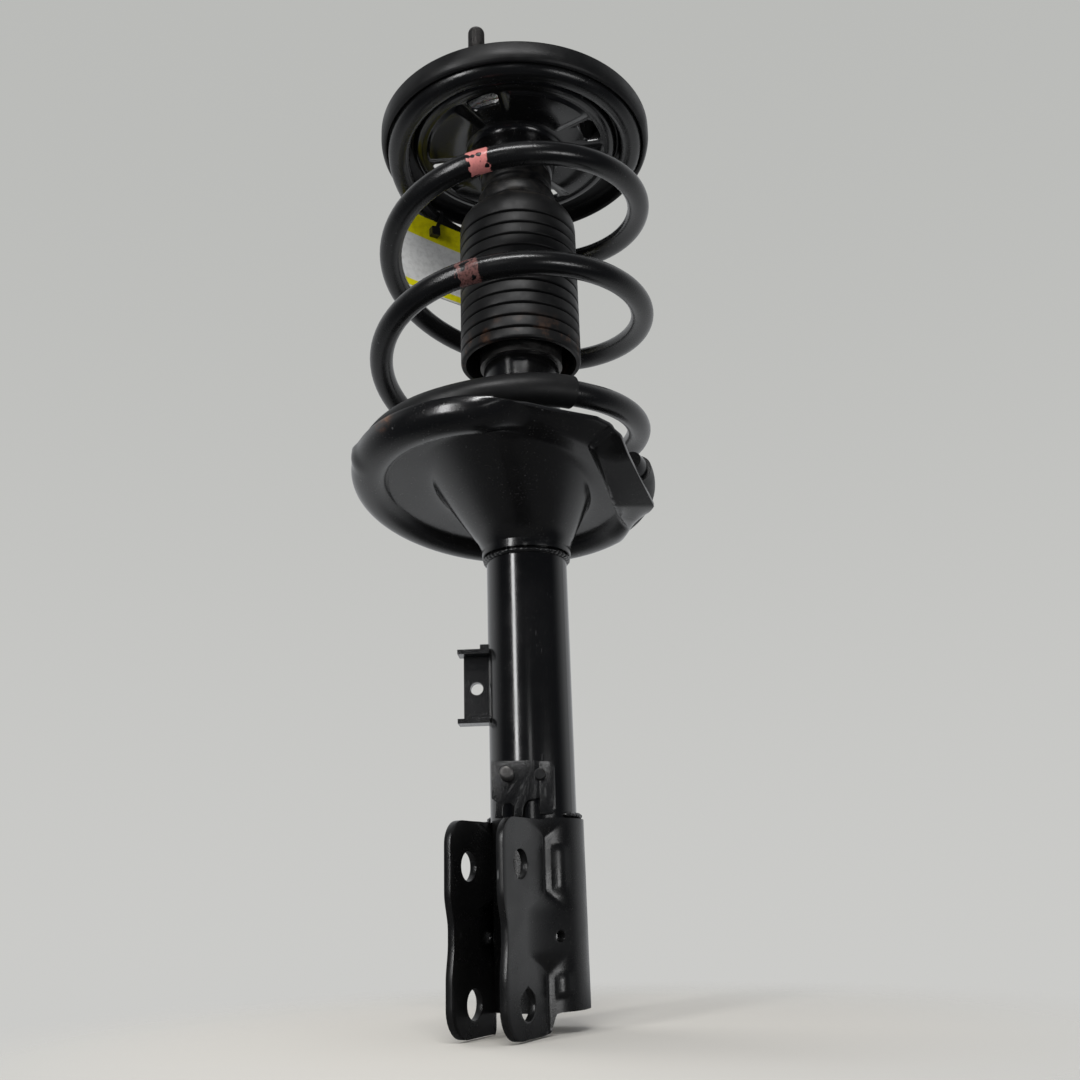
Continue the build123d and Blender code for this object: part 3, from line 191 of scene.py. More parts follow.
def coated(name, base, rough, peel=0.06, peel_scale=1500.0, dust=0.25, scuffs=0.3, coat=0.0,
           coat_rough=0.08, specular=0.5, dust_colour=(0.085, 0.08, 0.072)):
    """Painted or rubber surface: returns the material, its tree, shader and colour socket."""
    finish, tree = new_tree(name)
    place = object_place(tree)
    patches = speckle(tree, place, 38.0, 4.0)
    specks = speckle(tree, place, 950.0, 2.0, 0.75)
    film = speckle(tree, place, 120.0, 5.0, 0.7)
    dusty = maths(tree, "MULTIPLY", fit(tree, specks, 0.60, 0.74), fit(tree, film, 0.42, 0.66))
    dusty = maths(tree, "MULTIPLY", dusty, dust, True)
    colour = mix_colour(tree, dusty, base, dust_colour)
    streaks = add(tree, "Mapping", {"Vector": place, "Scale": (1.0, 1.0, 0.16),
                                    "Rotation": (0.5, 0.35, 0.2)}).outputs[0]
    scratch = fit(tree, speckle(tree, streaks, 620.0, 1.0, 0.5), 0.735, 0.775)
    scratch = maths(tree, "MULTIPLY", scratch, fit(tree, patches, 0.52, 0.62))
    scratch = maths(tree, "MULTIPLY", scratch, scuffs, True)
    colour = mix_colour(tree, scratch, colour, grey(0.16))
    shine = fit(tree, patches, 0.3, 0.72, rough * 0.8, rough * 1.3)
    shine = maths(tree, "ADD", shine, maths(tree, "MULTIPLY", dusty, 0.5), True)
    grain = speckle(tree, place, peel_scale, 2.0)
    bump = add(tree, "Bump", {"Height": grain, "Strength": peel, "Distance": 0.0004})
    shader = add(tree, "BsdfPrincipled", {
        "Base Color": colour, "Roughness": shine, "Normal": bump.outputs[0],
        "Specular IOR Level": specular, "Coat Weight": coat, "Coat Roughness": coat_rough})
    output = add(tree, "OutputMaterial", {"Surface": shader.outputs[0]})
    output.is_active_output = True
    return finish, tree, shader, colour


def rebase(tree, shader, colour):
    """Gives the shader another colour socket."""
    tree.links.new(colour, shader.inputs["Base Color"])


finishes = {}
finishes["damper_paint"] = coated("gloss_enamel", grey(0.0045), 0.16, coat=0.35)[0]
finishes["bracket_paint"] = coated("dipped_paint", grey(0.005), 0.27, peel=0.12, dust=0.35,
                                   scuffs=0.6)[0]
finishes["mount_paint"] = coated("satin_black", grey(0.009), 0.42, dust=0.4)[0]
finishes["rubber"] = coated("moulded_rubber", grey(0.006), 0.42, peel=0.15, dust=0.3,
                            scuffs=0.1, specular=0.3)[0]
finishes["tie_plastic"] = coated("black_nylon", grey(0.01), 0.36, dust=0.1, scuffs=0.0)[0]
finishes["band_plastic"] = coated("filled_ptfe", (0.05, 0.035, 0.022), 0.5, dust=0.1)[0]
print(len(finishes), "dark finishes made")

# %% [markdown]
# ## Bare and plated metal
# Machined steel shows faint turning marks, zinc phosphate is a dull grey crystal, and the
# chrome of the rod is ground to a mirror. The rod guide is sintered iron, its bush bronze.
# All of them share one metal recipe: fine noise stretched round the axis for tool marks, and
# a coarser one for stains.

# %% Metal recipe and finishes
def metal(name, base, rough, marks=0.08, stain=0.3, grain=2600.0):
    """Bare or plated metal with fine tool marks round the axis and darker stains."""
    finish, tree = new_tree(name)
    place = object_place(tree)
    turned = add(tree, "Mapping", {"Vector": place, "Scale": (0.25, 0.25, 1.0)}).outputs[0]
    marking = speckle(tree, turned, grain, 2.0)
    stains = fit(tree, speckle(tree, place, 210.0, 4.0), 0.48, 0.7)
    colour = mix_colour(tree, maths(tree, "MULTIPLY", stains, stain),
                        base, tuple(0.35 * part for part in base))
    shine = fit(tree, marking, 0.35, 0.65, rough * 0.8, rough * 1.25)
    bump = add(tree, "Bump", {"Height": marking, "Strength": marks, "Distance": 0.0003})
    shader = add(tree, "BsdfPrincipled", {"Base Color": colour, "Roughness": shine,
                                          "Metallic": 1.0, "Normal": bump.outputs[0]})
    add(tree, "OutputMaterial", {"Surface": shader.outputs[0]})
    return finish


finishes["steel"] = metal("machined_steel", grey(0.5), 0.3)
finishes["zinc_steel"] = metal("zinc_phosphate", grey(0.16, 0.03), 0.45, 0.2, 0.6, 1500.0)
finishes["rod_chrome"] = metal("hard_chrome", grey(0.72, -0.02), 0.08, 0.02, 0.05)
finishes["guide_alloy"] = metal("sintered_iron", grey(0.4), 0.5, 0.3, 0.4, 1800.0)
finishes["bush_bronze"] = metal("bearing_bronze", (0.52, 0.34, 0.14), 0.32)
print(len(finishes), "finishes so far")

# %% [markdown]
# ## Foam and nylon
# The bump stop under the mount is closed-cell foam, cream coloured with tiny pores, and the
# bearing's cage is natural nylon. Both let a little light in, so they get subsurface.

# %% Foam and cage nylon
def soft(name, base, rough, pore_scale, pore_depth, soak):
    """Pale plastic or foam with pores, and light that soaks in a little."""
    finish, tree = new_tree(name)
    place = object_place(tree)
    pores = add(tree, "TexVoronoi", {"Vector": place, "Scale": pore_scale}).outputs["Distance"]
    dirt = fit(tree, speckle(tree, place, 90.0, 4.0), 0.45, 0.72, 0.0, 0.45)
    colour = mix_colour(tree, dirt, base, tuple(0.5 * part for part in base))
    bump = add(tree, "Bump", {"Height": pores, "Strength": pore_depth, "Distance": 0.0005})
    shader = add(tree, "BsdfPrincipled", {
        "Base Color": colour, "Roughness": rough, "Normal": bump.outputs[0],
        "Subsurface Weight": soak, "Subsurface Scale": 0.002})
    add(tree, "OutputMaterial", {"Surface": shader.outputs[0]})
    return finish


finishes["foam"] = soft("polyurethane_foam", (0.55, 0.47, 0.25), 0.75, 1400.0, 0.5, 0.2)
finishes["cage_plastic"] = soft("natural_nylon", (0.6, 0.57, 0.5), 0.42, 3000.0, 0.05, 0.3)
print("foam pores are", round(1000 / 1400, 2), "mm apart")

# %% [markdown]
# ## Masks by place
# Rust, dirt and paint marks sit at particular places. A mask by place is 1 near a point and
# fades to 0 at a radius, and noise breaks up its edge, so the stain doesn't look stamped.

# %% A ragged mask round a point
def ragged_spot(tree, centre, radius, ragged=0.5, scale=260.0):
    """1 near the centre, 0 beyond the radius, with an edge broken up by noise."""
    place = object_place(tree)
    away = add(tree, "VectorMath", {0: place, 1: tuple(centre)}, operation="DISTANCE")
    near = fit(tree, away.outputs["Value"], radius * 0.25, radius, 1.0, 0.0)
    grit = fit(tree, speckle(tree, place, scale, 5.0, 0.75), 0.5 - 0.25 * ragged, 0.62)
    return maths(tree, "MULTIPLY", near, grit, True)


RUST = (0.11, 0.045, 0.02)
print("rust colour", RUST)

# %% [markdown]
# ## Seat paint with chips and rust
# Both spring seats are stamped, then dipped in gloss paint. The paint has chipped at three
# places on the lower seat's rim, so a little rust shows there. The mask by place mixes the
# rust colour in at each of them.

# %% Seat paint
paint, tree, shader, colour = coated("seat_enamel", grey(0.005), 0.2, peel=0.1, dust=0.5,
                                     scuffs=0.7, coat=0.25)
chips = [((-0.0264, -0.1024, -0.2466), 0.009), ((-0.0850, -0.0600, -0.2530), 0.006),
         ((0.060, 0.045, -0.245), 0.006)]
worn = 0.0
for centre, radius in chips:
    worn = maths(tree, "MAXIMUM", ragged_spot(tree, centre, radius), worn)
rebase(tree, shader, mix_colour(tree, worn, colour, RUST))
finishes["seat_paint"] = paint
print("rust at", len(chips), "places on the lower seat")

# %% [markdown]
# ## The boot's rubber
# The dust boot is satin black rubber, smooth where the mould was polished. Road dust lies
# in its valleys and it has gone brown round the open lower end. Height above that end
# drives the brown, and the distance from the axis finds the valleys.

# %% Boot rubber
boot_low, boot_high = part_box("dust_boot")
boot_radius = (boot_high.x - boot_low.x) / 2
rubber, tree, shader, colour = coated("boot_rubber", grey(0.005), 0.45, peel=0.05, dust=0.3,
                                      scuffs=0.15, specular=0.3)
place = object_place(tree)
split = add(tree, "SeparateXYZ", {0: place})
out = maths(tree, "SQRT", maths(tree, "ADD", maths(tree, "MULTIPLY", split.outputs[0], split.outputs[0]),
                                maths(tree, "MULTIPLY", split.outputs[1], split.outputs[1])))
valley = fit(tree, out, boot_radius - 0.0028, boot_radius - 0.0006, 1.0, 0.0)
settled = maths(tree, "MULTIPLY", valley, fit(tree, speckle(tree, place, 160.0, 5.0), 0.45, 0.7))
colour = mix_colour(tree, maths(tree, "MULTIPLY", settled, 0.35), colour, (0.05, 0.043, 0.035))
near_end = fit(tree, split.outputs[2], boot_low.z + 0.002, boot_low.z + 0.02, 1.0, 0.0)
brown = maths(tree, "MULTIPLY", near_end, fit(tree, speckle(tree, place, 110.0, 4.0), 0.5, 0.68))
rebase(tree, shader, mix_colour(tree, brown, colour, (0.06, 0.03, 0.017)))
finishes["boot_rubber"] = rubber
print("boot radius", round(1000 * boot_radius, 1), "mm")

# %% [markdown]
# ## The spring's coat and its paint marks
# The wire has a semi-gloss powder coat. The spring maker brushes a short pink mark on two
# of the turns to show its rate. The mark follows the wire, so the mask uses a value that the
# wire's mesh will carry: how many turns up the wire a point lies.

# %% Spring coat
MARK_TURNS = (2.78, 1.776)
MARK_HALF = 0.0128


def brushed_mark(tree, along, middle, fade):
    """A brush stroke across the wire with ragged ends and a missed notch."""
    place = object_place(tree)
    wobble = maths(tree, "MULTIPLY", maths(tree, "SUBTRACT", speckle(tree, place, 260.0, 3.0), 0.5), 0.013)
    away = maths(tree, "ABSOLUTE", maths(tree, "SUBTRACT", maths(tree, "ADD", along, wobble), middle))
    stroke = fit(tree, away, MARK_HALF * 0.9, MARK_HALF, 1.0, 0.0)
    notch = fit(tree, speckle(tree, place, 210.0, 1.0, 0.4), 0.62, 0.64, 1.0, 0.0)
    stroke = maths(tree, "MULTIPLY", stroke, notch)
    thin = fit(tree, speckle(tree, place, 900.0, 2.0), 0.3, 0.6, fade, 1.0)
    return maths(tree, "MULTIPLY", stroke, thin, True)


coat, tree, shader, colour = coated("powder_coat", grey(0.0055), 0.24, peel=0.16, peel_scale=900.0,
                                    dust=0.2, scuffs=0.5)
along = add(tree, "Attribute", attribute_name="turns").outputs["Fac"]
first = brushed_mark(tree, along, MARK_TURNS[0], 0.85)
second = brushed_mark(tree, along, MARK_TURNS[1], 0.25)
colour = mix_colour(tree, first, colour, (0.60, 0.21, 0.19))
colour = mix_colour(tree, maths(tree, "MULTIPLY", second, 0.6), colour, (0.27, 0.12, 0.105))
rebase(tree, shader, colour)
finishes["spring_coat"] = coat
print("pink marks", MARK_TURNS, "turns up the wire")

# %% [markdown]
# ## The card tag's print
# A plastic card hangs from a cable tie: a yellow band at the top, white below it and a thin
# yellow line near the foot. It carries no words here. The card's mesh will carry its own
# height, from 0 at the foot to 1 at the top, so the bands stay put when the card bends.

# %% Tag card
band_foot = 0.71
card, tree = new_tree("tag_card")
place = object_place(tree)
height = add(tree, "Attribute", attribute_name="card_height").outputs["Fac"]
band = maths(tree, "GREATER_THAN", height, band_foot)
line = maths(tree, "MULTIPLY", maths(tree, "LESS_THAN", height, 0.10),
             maths(tree, "GREATER_THAN", height, 0.02))
mottle = fit(tree, speckle(tree, place, 300.0, 4.0), 0.4, 0.7)
white = mix_colour(tree, mottle, (0.66, 0.66, 0.64), (0.55, 0.55, 0.53))
yellow = mix_colour(tree, mottle, (0.74, 0.68, 0.004), (0.62, 0.56, 0.004))
colour = mix_colour(tree, maths(tree, "MAXIMUM", band, line), white, yellow)
crease = add(tree, "Bump", {"Height": speckle(tree, place, 60.0, 2.0), "Strength": 0.25,
                            "Distance": 0.001})
shader = add(tree, "BsdfPrincipled", {"Base Color": colour, "Roughness": 0.34,
                                      "Normal": crease.outputs[0]})
add(tree, "OutputMaterial", {"Surface": shader.outputs[0]})
finishes["tag_card"] = card
print("the yellow band takes", round(100 * (1 - band_foot)), "% of the card")

# %% [markdown]
# ## Give every CAD piece its finish
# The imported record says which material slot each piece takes. The loop puts the matching
# finish in every slot of the piece's mesh. The two small brackets on the tube then get a
# coat of their own, with a coarser grain than the tube's.

# %% Paint the CAD pieces
for entry in frame["record"]["subparts"]:
    piece = frame["nodes"][entry["node"]]
    if not piece.data.materials:
        piece.data.materials.append(None)
    for place_in_list in range(len(piece.material_slots)):
        piece.material_slots[place_in_list].material = finishes[entry["material_slot"]]
grainy = coated("grainy_paint", grey(0.007), 0.22, peel=0.45, peel_scale=1300.0, scuffs=0.8,
                coat=0.4)[0]
for name in ("sensor_bracket", "hose_bracket"):
    frame["nodes"][name].material_slots[0].material = grainy
print(len(frame["nodes"]), "CAD pieces painted")

# %% [markdown]
# ## A mesh from a grid of points
# Wire, threads, weld beads and stampings are all grids: rows of points with as many in each
# row. One helper joins neighbouring rows with four-sided faces, closes the rows into rings
# where the piece is round, and caps the ends.

# %% The grid helper
def placed(name, mesh):
    """Adds a piece with this mesh to the scene."""
    piece = bpy.data.objects.new(name, mesh)
    bpy.context.scene.collection.objects.link(piece)
    return piece


def grid_mesh(name, grid, ring=True, loop=False, caps=True, smooth_below=40.0):
    """Mesh of rows x columns x 3 points. ring closes each row, loop joins last row to first."""
    rows, columns = grid.shape[:2]
    faces = []
    for row in range(rows if loop else rows - 1):
        for column in range(columns if ring else columns - 1):
            right = (column + 1) % columns
            above = (row + 1) % rows
            faces.append((row * columns + column, row * columns + right,
                          above * columns + right, above * columns + column))
    if caps and not loop:
        faces.append(tuple(reversed(range(columns))))
        faces.append(tuple(range((rows - 1) * columns, rows * columns)))
    mesh = bpy.data.meshes.new(name)
    mesh.from_pydata(grid.reshape(-1, 3).tolist(), [], faces)
    mesh.shade_smooth()
    mesh.set_sharp_from_angle(angle=math.radians(smooth_below))
    mesh.update()
    return placed(name, mesh)


def finish_piece(piece, body, slot_name, finish=None):
    """Paints a new piece and lets it ride on a body."""
    piece.data.materials.clear()
    piece.data.materials.append(finish or finishes[slot_name])
    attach(piece, body)
    return piece


def outward(piece):
    """Turns every face of a closed mesh outwards."""
    work = bmesh.new()
    work.from_mesh(piece.data)
    bmesh.ops.recalc_face_normals(work, faces=work.faces)
    work.to_mesh(piece.data)
    work.free()


print("grid helper ready")

# %% [markdown]
# ## The spring's centre line
# The wire is 13.3 mm thick and winds about four turns. Its lowest turn lies in the tilted
# seat and its highest is level, and between them the pitch is nearly even. The zones list how
# many turns have which share of that pitch, and the height is the running sum of the shares.
# The middle turns swell by 2.5 mm and bow by as much to one side, as a loaded spring does.

# %% Centre line of the wire
wire_radius = 0.01330 / 2
coil_radius = 0.0744
coil_start = math.radians(2.0)
seat_lean, seat_height, seat_shift = math.radians(9.3), -0.2627, -0.0225
top_height = -0.02435
level_share = 0.06
bulge, bow, bow_turn, bow_rise = 0.0025, 0.0025, math.radians(27.0), 1.4
zones = [(0.27, 0.02), (0.25, 0.09), (0.25, 0.32), (0.15, 1.08), (0.15, 1.36), (0.85, 1.00),
         (1.15, 1.03), (0.17, 0.91), (0.17, 1.35), (0.17, 1.11), (0.17, 0.40), (0.36, 0.033)]
all_turns = sum(turns for turns, share in zones)
whole_rise = sum(turns * share for turns, share in zones)


def wire_centre(turn):
    """Centre of the wire this many turns above its lower end."""
    risen = 0.0
    start = 0.0
    for turns, share in zones:
        risen += min(max(turn - start, 0.0), turns) * share
        start += turns
    left = 1 - risen / whole_rise
    lean = seat_lean * left
    angle = coil_start + 2 * math.pi * turn
    swell = math.sin(math.pi * (1 - left) ** bow_rise) ** 2
    radius = coil_radius + bulge * swell
    along = radius * math.sin(angle)
    shift = seat_shift * max(0.0, left - level_share) / (1 - level_share)
    return np.array((
        radius * math.cos(angle) + bow * swell * math.cos(bow_turn),
        along * math.cos(lean) + shift + bow * swell * math.sin(bow_turn),
        top_height - left * (top_height - seat_height) - along * math.sin(lean)))


print(round(all_turns, 2), "turns, rising", round(1000 * (top_height - seat_height)), "mm")

# %% [markdown]
# ## Sweep the wire
# At each step a ring of points is set square to the centre line: one direction points away
# from the strut's axis, the other is square to both. The ends are cut flat with a small
# rounded edge, as a sheared wire has. An attribute remembers the turn for the paint marks.

# %% Wire sweep
STEPS_PER_TURN = 90
SIDES = 28
shear_reach, shear_depth = 0.0025, 0.0009


def swept_wire(name, start, end):
    """A piece of the spring's wire from one turn to another."""
    steps = round((end - start) * STEPS_PER_TURN)
    turns = [start + (end - start) * step / steps for step in range(steps + 1)]
    rings = []
    for turn in turns:
        centre = wire_centre(turn)
        tangent = wire_centre(turn + 0.001) - wire_centre(turn - 0.001)
        tangent /= np.linalg.norm(tangent)
        away = np.array((centre[0], centre[1], 0.0))
        away -= tangent * away.dot(tangent)
        away /= np.linalg.norm(away)
        side = np.cross(tangent, away)
        radius = wire_radius
        for end_turn in (0.0, all_turns):
            to_end = abs(turn - end_turn) * 2 * math.pi * coil_radius
            if to_end < shear_reach:
                radius -= shear_depth * (1 - to_end / shear_reach) ** 2
        rings.append([centre + radius * (math.cos(turn_round) * away + math.sin(turn_round) * side)
                      for turn_round in np.linspace(0, 2 * math.pi, SIDES, endpoint=False)])
    piece = grid_mesh(name, np.array(rings))
    values = piece.data.attributes.new("turns", "FLOAT", "POINT")
    values.data.foreach_set("value", np.repeat(turns, SIDES).tolist())
    return piece


# The wire is built in two pieces split at a joint inside the sleeve: the lower turn in its seat and the
# turns above it.
JOINT_TURN = 0.87
end_turn = swept_wire("spring_end_turn", 0.0, JOINT_TURN)
active_turns = swept_wire("spring_active_turns", JOINT_TURN, all_turns)
for piece in (end_turn, active_turns):
    finish_piece(piece, "strut_body", "spring_coat")
    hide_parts("coil_spring")
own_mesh(active_turns)

# %% [markdown]
# ## The bump stop
# It is a foam tube under the mount that flattens when the strut bottoms out. The CAD piece
# has the right shape, so the lesson copies its mesh and puts the copy in its place.

# %% Bump stop copy
stop_low, stop_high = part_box("bump_stop")
foam = placed("bump_stop_foam", frame["nodes"]["bump_stop"].data.copy())
finish_piece(foam, "upper_seat", "foam")
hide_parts("bump_stop")
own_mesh(foam)
print("bump stop", round(1000 * (stop_high.z - stop_low.z)), "mm long at rest")

# %% [markdown]
# ## The card itself
# The card is thin, so it never hangs flat: its sides curl in and its foot swings out a
# little. It is a grid with a front and a back, and each corner is rounded by drawing the
# rows in near the ends. The tie holds on to a coil, and tie and card ride on the upper seat.

# %% The card
card_turn, card_lean = math.radians(150.0), math.radians(6.0)
card_reach, card_along, hole_height, hole_drop = 0.063, 0.027, -0.0573, 0.010
card_width, card_tall, card_thick, card_round = 0.066, 0.056, 0.0008, 0.002
card_aside = 0.0045
card_out = Vector((math.cos(card_turn), math.sin(card_turn), 0))
card_side = Vector((-card_out.y, card_out.x, 0))
card_across = card_side * math.cos(card_lean) + Vector((0, 0, math.sin(card_lean)))
card_up = card_out.cross(card_across)
hole = card_out * card_reach + card_side * card_along + Vector((0, 0, hole_height))
card_rows, card_columns = 28, 33


def card_point(across, up, depth):
    """A point on the bent card: across runs -1 to 1, up 0 at the foot to 1 at the top."""
    to_edge = min(up, 1 - up) * card_tall
    drawn_in = card_round - math.sqrt(card_round ** 2 - max(0.0, card_round - to_edge) ** 2)
    bend = -0.0009 * across ** 2 + 0.0011 * (1 - up) ** 2 * (0.4 + 0.6 * across)
    return (hole - card_across * card_aside + card_across * across * (card_width / 2 - drawn_in)
            + card_up * (hole_drop - card_tall * (1 - up)) + card_out * (bend + depth))


levels = sorted({0.0, 0.003, 0.01, 0.02, 0.98, 0.99, 0.997, 1.0}
                | {step / card_rows for step in range(1, card_rows)})
grid = []
for up in levels:
    across = np.linspace(-1, 1, card_columns)
    front = [card_point(x, up, card_thick) for x in across]
    back = [card_point(x, up, 0.0) for x in across[::-1]]
    grid.append(front + back)
tag = grid_mesh("tag_card_bent", np.array(grid), smooth_below=30)
outward(tag)
tag_height = tag.data.attributes.new("card_height", "FLOAT", "POINT")
tag_height.data.foreach_set("value", [up for up in levels for column in range(2 * card_columns)])
finish_piece(tag, "upper_seat", "tag_card")
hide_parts("hang_tag")
tie = placed("tag_tie_strap", frame["nodes"]["tag_tie"].data.copy())
finish_piece(tie, "upper_seat", "tie_plastic")
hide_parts("tag_tie")
for piece in (tag, tie):
    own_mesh(piece)
print("card", round(1000 * card_width), "x", round(1000 * card_tall), "mm")

# %% [markdown]
# ## Screw threads
# A thread is a groove that climbs as it goes round. On a grid of points on a cylinder, the
# radius only has to follow height minus angle: each full turn lifts the groove by one
# pitch. The tip is chamfered and the groove fades out at both ends.

# %% Threaded shanks
def thread_depth(phase):
    """Depth share of a 60 degree thread with flat crests and roots; phase runs 0 to 1."""
    slope = abs((phase % 1.0) * 2 - 1)
    return min(max((slope - 0.12) / 0.70, 0.0), 1.0)


def threaded(name, foot, axis, radius, length, pitch, plain, tip, pressed, knurl=0.0004):
    """A shank along axis from foot: pressed into its plate, plain, then threaded to the tip."""
    depth = 0.61 * pitch
    columns = 36
    rows = round(length / pitch * 12)
    axis = Vector(axis).normalized()
    across = axis.orthogonal().normalized()
    side = axis.cross(across)
    grid = np.zeros((rows + 1, columns, 3))
    for row in range(rows + 1):
        height = length * row / rows
        for column in range(columns):
            angle = 2 * math.pi * column / columns
            cut = thread_depth(height / pitch - column / columns)
            fade = min(max((height - plain) / pitch, 0.0), 1.0)
            r = radius - depth * cut * fade + (knurl if height < pressed else 0.0)
            below_tip = (length - height) / tip
            if below_tip < 1:
                r = min(r, radius * (0.62 + 0.38 * math.sqrt(1 - (1 - below_tip) ** 2)))
            point = Vector(foot) + axis * height + r * (math.cos(angle) * across + math.sin(angle) * side)
            grid[row, column] = point
    piece = grid_mesh(name, grid, smooth_below=50)
    outward(piece)
    return piece


stud_low, stud_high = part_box("mount_studs")
stud_circle, stud_first = 0.059, math.radians(-84.0)
stud_radius, stud_pitch, stud_head_radius, stud_head = 0.005, 0.00125, 0.008, 0.004
for number in range(3):
    angle = stud_first + number * 2 * math.pi / 3
    foot = Vector((stud_circle * math.cos(angle), stud_circle * math.sin(angle), stud_low.z + stud_head))
    shank = threaded(f"mount_stud_{number + 1}", foot, (0, 0, 1), stud_radius,
                     stud_high.z - foot.z, stud_pitch, 0.006, 0.003, -foot.z)
    heights = [0.0, 0.0004, stud_head - 0.0004, stud_head]
    radii = [stud_head_radius - 0.0005, stud_head_radius, stud_head_radius, stud_head_radius - 0.0005]
    head_grid = np.array([[(foot.x + r * math.cos(a), foot.y + r * math.sin(a), stud_low.z + h)
                           for a in np.linspace(0, 2 * math.pi, 48, endpoint=False)]
                          for r, h in zip(radii, heights)])
    head = grid_mesh(f"mount_stud_head_{number + 1}", head_grid)
    outward(head)
    for piece in (shank, head):
        finish_piece(piece, "mount", "zinc_steel")
        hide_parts("mount_studs")
print("three studs,", round(1000 * stud_high.z), "mm above the mount's face")

# %% [markdown]
# ## Weld beads
# A hand-fed weld is a row of overlapping drops. The bead's cross-section is half a circle
# on the tube, and its size swells and shrinks with each drop, like a row of arches. A little
# noise makes no two drops alike, and paint lies thick and lumpy over them.

# %% Weld bead helper
def weld_bead(name, tube_radius, height, half_width, proud, start, span, drops):
    """A bead round the tube from an angle through a span, both in degrees."""
    whole = span >= 360
    rows = round(span * 1.5)
    columns = 13
    grid = np.zeros((rows + (0 if whole else 1), columns, 3))
    for row in range(grid.shape[0]):
        share = row / rows
        angle = math.radians(start + span * share)
        drop = (share * drops) % 1.0
        swell = 0.78 + 0.22 * math.sqrt(max(0.0, 1 - (2 * drop - 1) ** 2))
        fade = 1.0 if whole else min(1.0, 12 * share, 12 * (1 - share)) ** 0.5
        for column in range(columns):
            lean = math.pi * (column / (columns - 1) - 0.5)
            rough = 0.12 * noise.noise(Vector((math.cos(angle) * 7, math.sin(angle) * 7, lean * 2)))
            size = max(fade, 0.05) * (swell + rough)
            r = tube_radius - 0.0003 + proud * 0.92 * size * math.cos(lean)
            z = height + half_width * 0.95 * size * math.sin(lean)
            grid[row, column] = (r * math.cos(angle), r * math.sin(angle), z)
    piece = grid_mesh(name, grid, ring=False, loop=whole, caps=False, smooth_below=60)
    return piece


weld_paint = coated("painted_weld", grey(0.006), 0.2, peel=0.8, peel_scale=430.0, coat=0.3)[0]
tube_low, tube_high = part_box("reserve_tube")
tube_radius = (tube_high.x - tube_low.x) / 2
seat_low, seat_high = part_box("seat_weld")
seat_bead = weld_bead("seat_weld_bead", tube_radius, (seat_low.z + seat_high.z) / 2,
                      (seat_high.z - seat_low.z) / 2, (seat_high.x - seat_low.x) / 2 - tube_radius,
                      0, 360, 46)
finish_piece(seat_bead, "strut_body", "damper_paint", weld_paint)
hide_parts("seat_weld")
bead_low, bead_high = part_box("bracket_welds")
for number, start in enumerate((-22.0, 107.0)):
    bead = weld_bead(f"bracket_weld_bead_{number + 1}", tube_radius, (bead_low.z + bead_high.z) / 2,
                     (bead_high.z - bead_low.z) / 2, 0.0035, start, 95.0, 15)
    finish_piece(bead, "strut_body", "bracket_paint", weld_paint)
    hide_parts("bracket_welds")
print("tube", round(2000 * tube_radius, 1), "mm across, three beads")

# %% [markdown]
# ## Sheet metal helpers
# A stamping is a curved sheet of even thickness. Each one below starts as a grid on its
# middle surface, and Solidify thickens it to both sides. A narrow bevel breaks the cut edges,
# where black paint always shows a bright line.

# %% Sheet metal helpers
def applied(piece):
    """Bakes a piece's modifiers into its mesh."""
    graph = bpy.context.evaluated_depsgraph_get()
    mesh = bpy.data.meshes.new_from_object(piece.evaluated_get(graph))
    piece.modifiers.clear()
    piece.data = mesh
    return piece


def thickened(piece, sheet):
    """Gives a middle surface its thickness."""
    layer = piece.modifiers.new("sheet", "SOLIDIFY")
    layer.thickness = sheet
    layer.offset = 0.0
    layer.use_even_offset = True
    return applied(piece)


def edges_broken(piece, width, angle=38.0):
    """Bevels the sharp edges and shades the rest smooth."""
    bevel = piece.modifiers.new("edges", "BEVEL")
    bevel.width = width
    bevel.segments = 2
    bevel.limit_method = "ANGLE"
    bevel.angle_limit = math.radians(angle)
    applied(piece)
    piece.data.shade_smooth()
    piece.data.set_sharp_from_angle(angle=math.radians(50))
    return piece


def smooth(value, low, high):
    """0 below low, 1 above high, with an easy curve between."""
    share = min(max((value - low) / (high - low), 0.0), 1.0)
    return share * share * (3 - 2 * share)


print("sheet metal helpers ready")

# %% [markdown]
# ## Holes
# Boolean cuts a hole where a drill would. The drill is a cylinder made with bmesh, laid along
# the hole's axis and deleted after the cut.

# %% Drill
def from_work(name, work):
    """Ends a bmesh job: writes it to a mesh and adds the piece to the scene."""
    mesh = bpy.data.meshes.new(name)
    work.to_mesh(mesh)
    work.free()
    return placed(name, mesh)


def cut_away(piece, cutter):
    """Cuts one piece out of another, then deletes the cutter."""
    bpy.context.view_layer.update()
    cut = piece.modifiers.new("cut", "BOOLEAN")
    cut.operation = "DIFFERENCE"
    cut.solver = "EXACT"
    cut.object = cutter
    applied(piece)
    bpy.data.objects.remove(cutter)


def drilled(piece, holes):
    """Cuts round holes: each is (middle, direction, radius, length)."""
    for middle_point, direction, radius, length in holes:
        work = bmesh.new()
        bmesh.ops.create_cone(work, cap_ends=True, segments=40, radius1=radius, radius2=radius,
                              depth=length)
        drill = from_work("drill", work)
        drill.matrix_world = (Matrix.Translation(middle_point)
                              @ Vector(direction).to_track_quat("Z", "Y").to_matrix().to_4x4())
        cut_away(piece, drill)
    return piece


print("drill ready")

# %% [markdown]
# ## The knuckle bracket
# One stamping wraps the tube and ends in two flat ears with bolt holes. Seen from above its
# section is a straight ear, an S-shaped blend and an arc round the tube. Round the holes
# the ear stays flat far back; between them the blend starts early, so each side carries a
# smooth waist. The ears' front edge, their corners and the curve up to the tube are the
# outline, and it is different at every height.

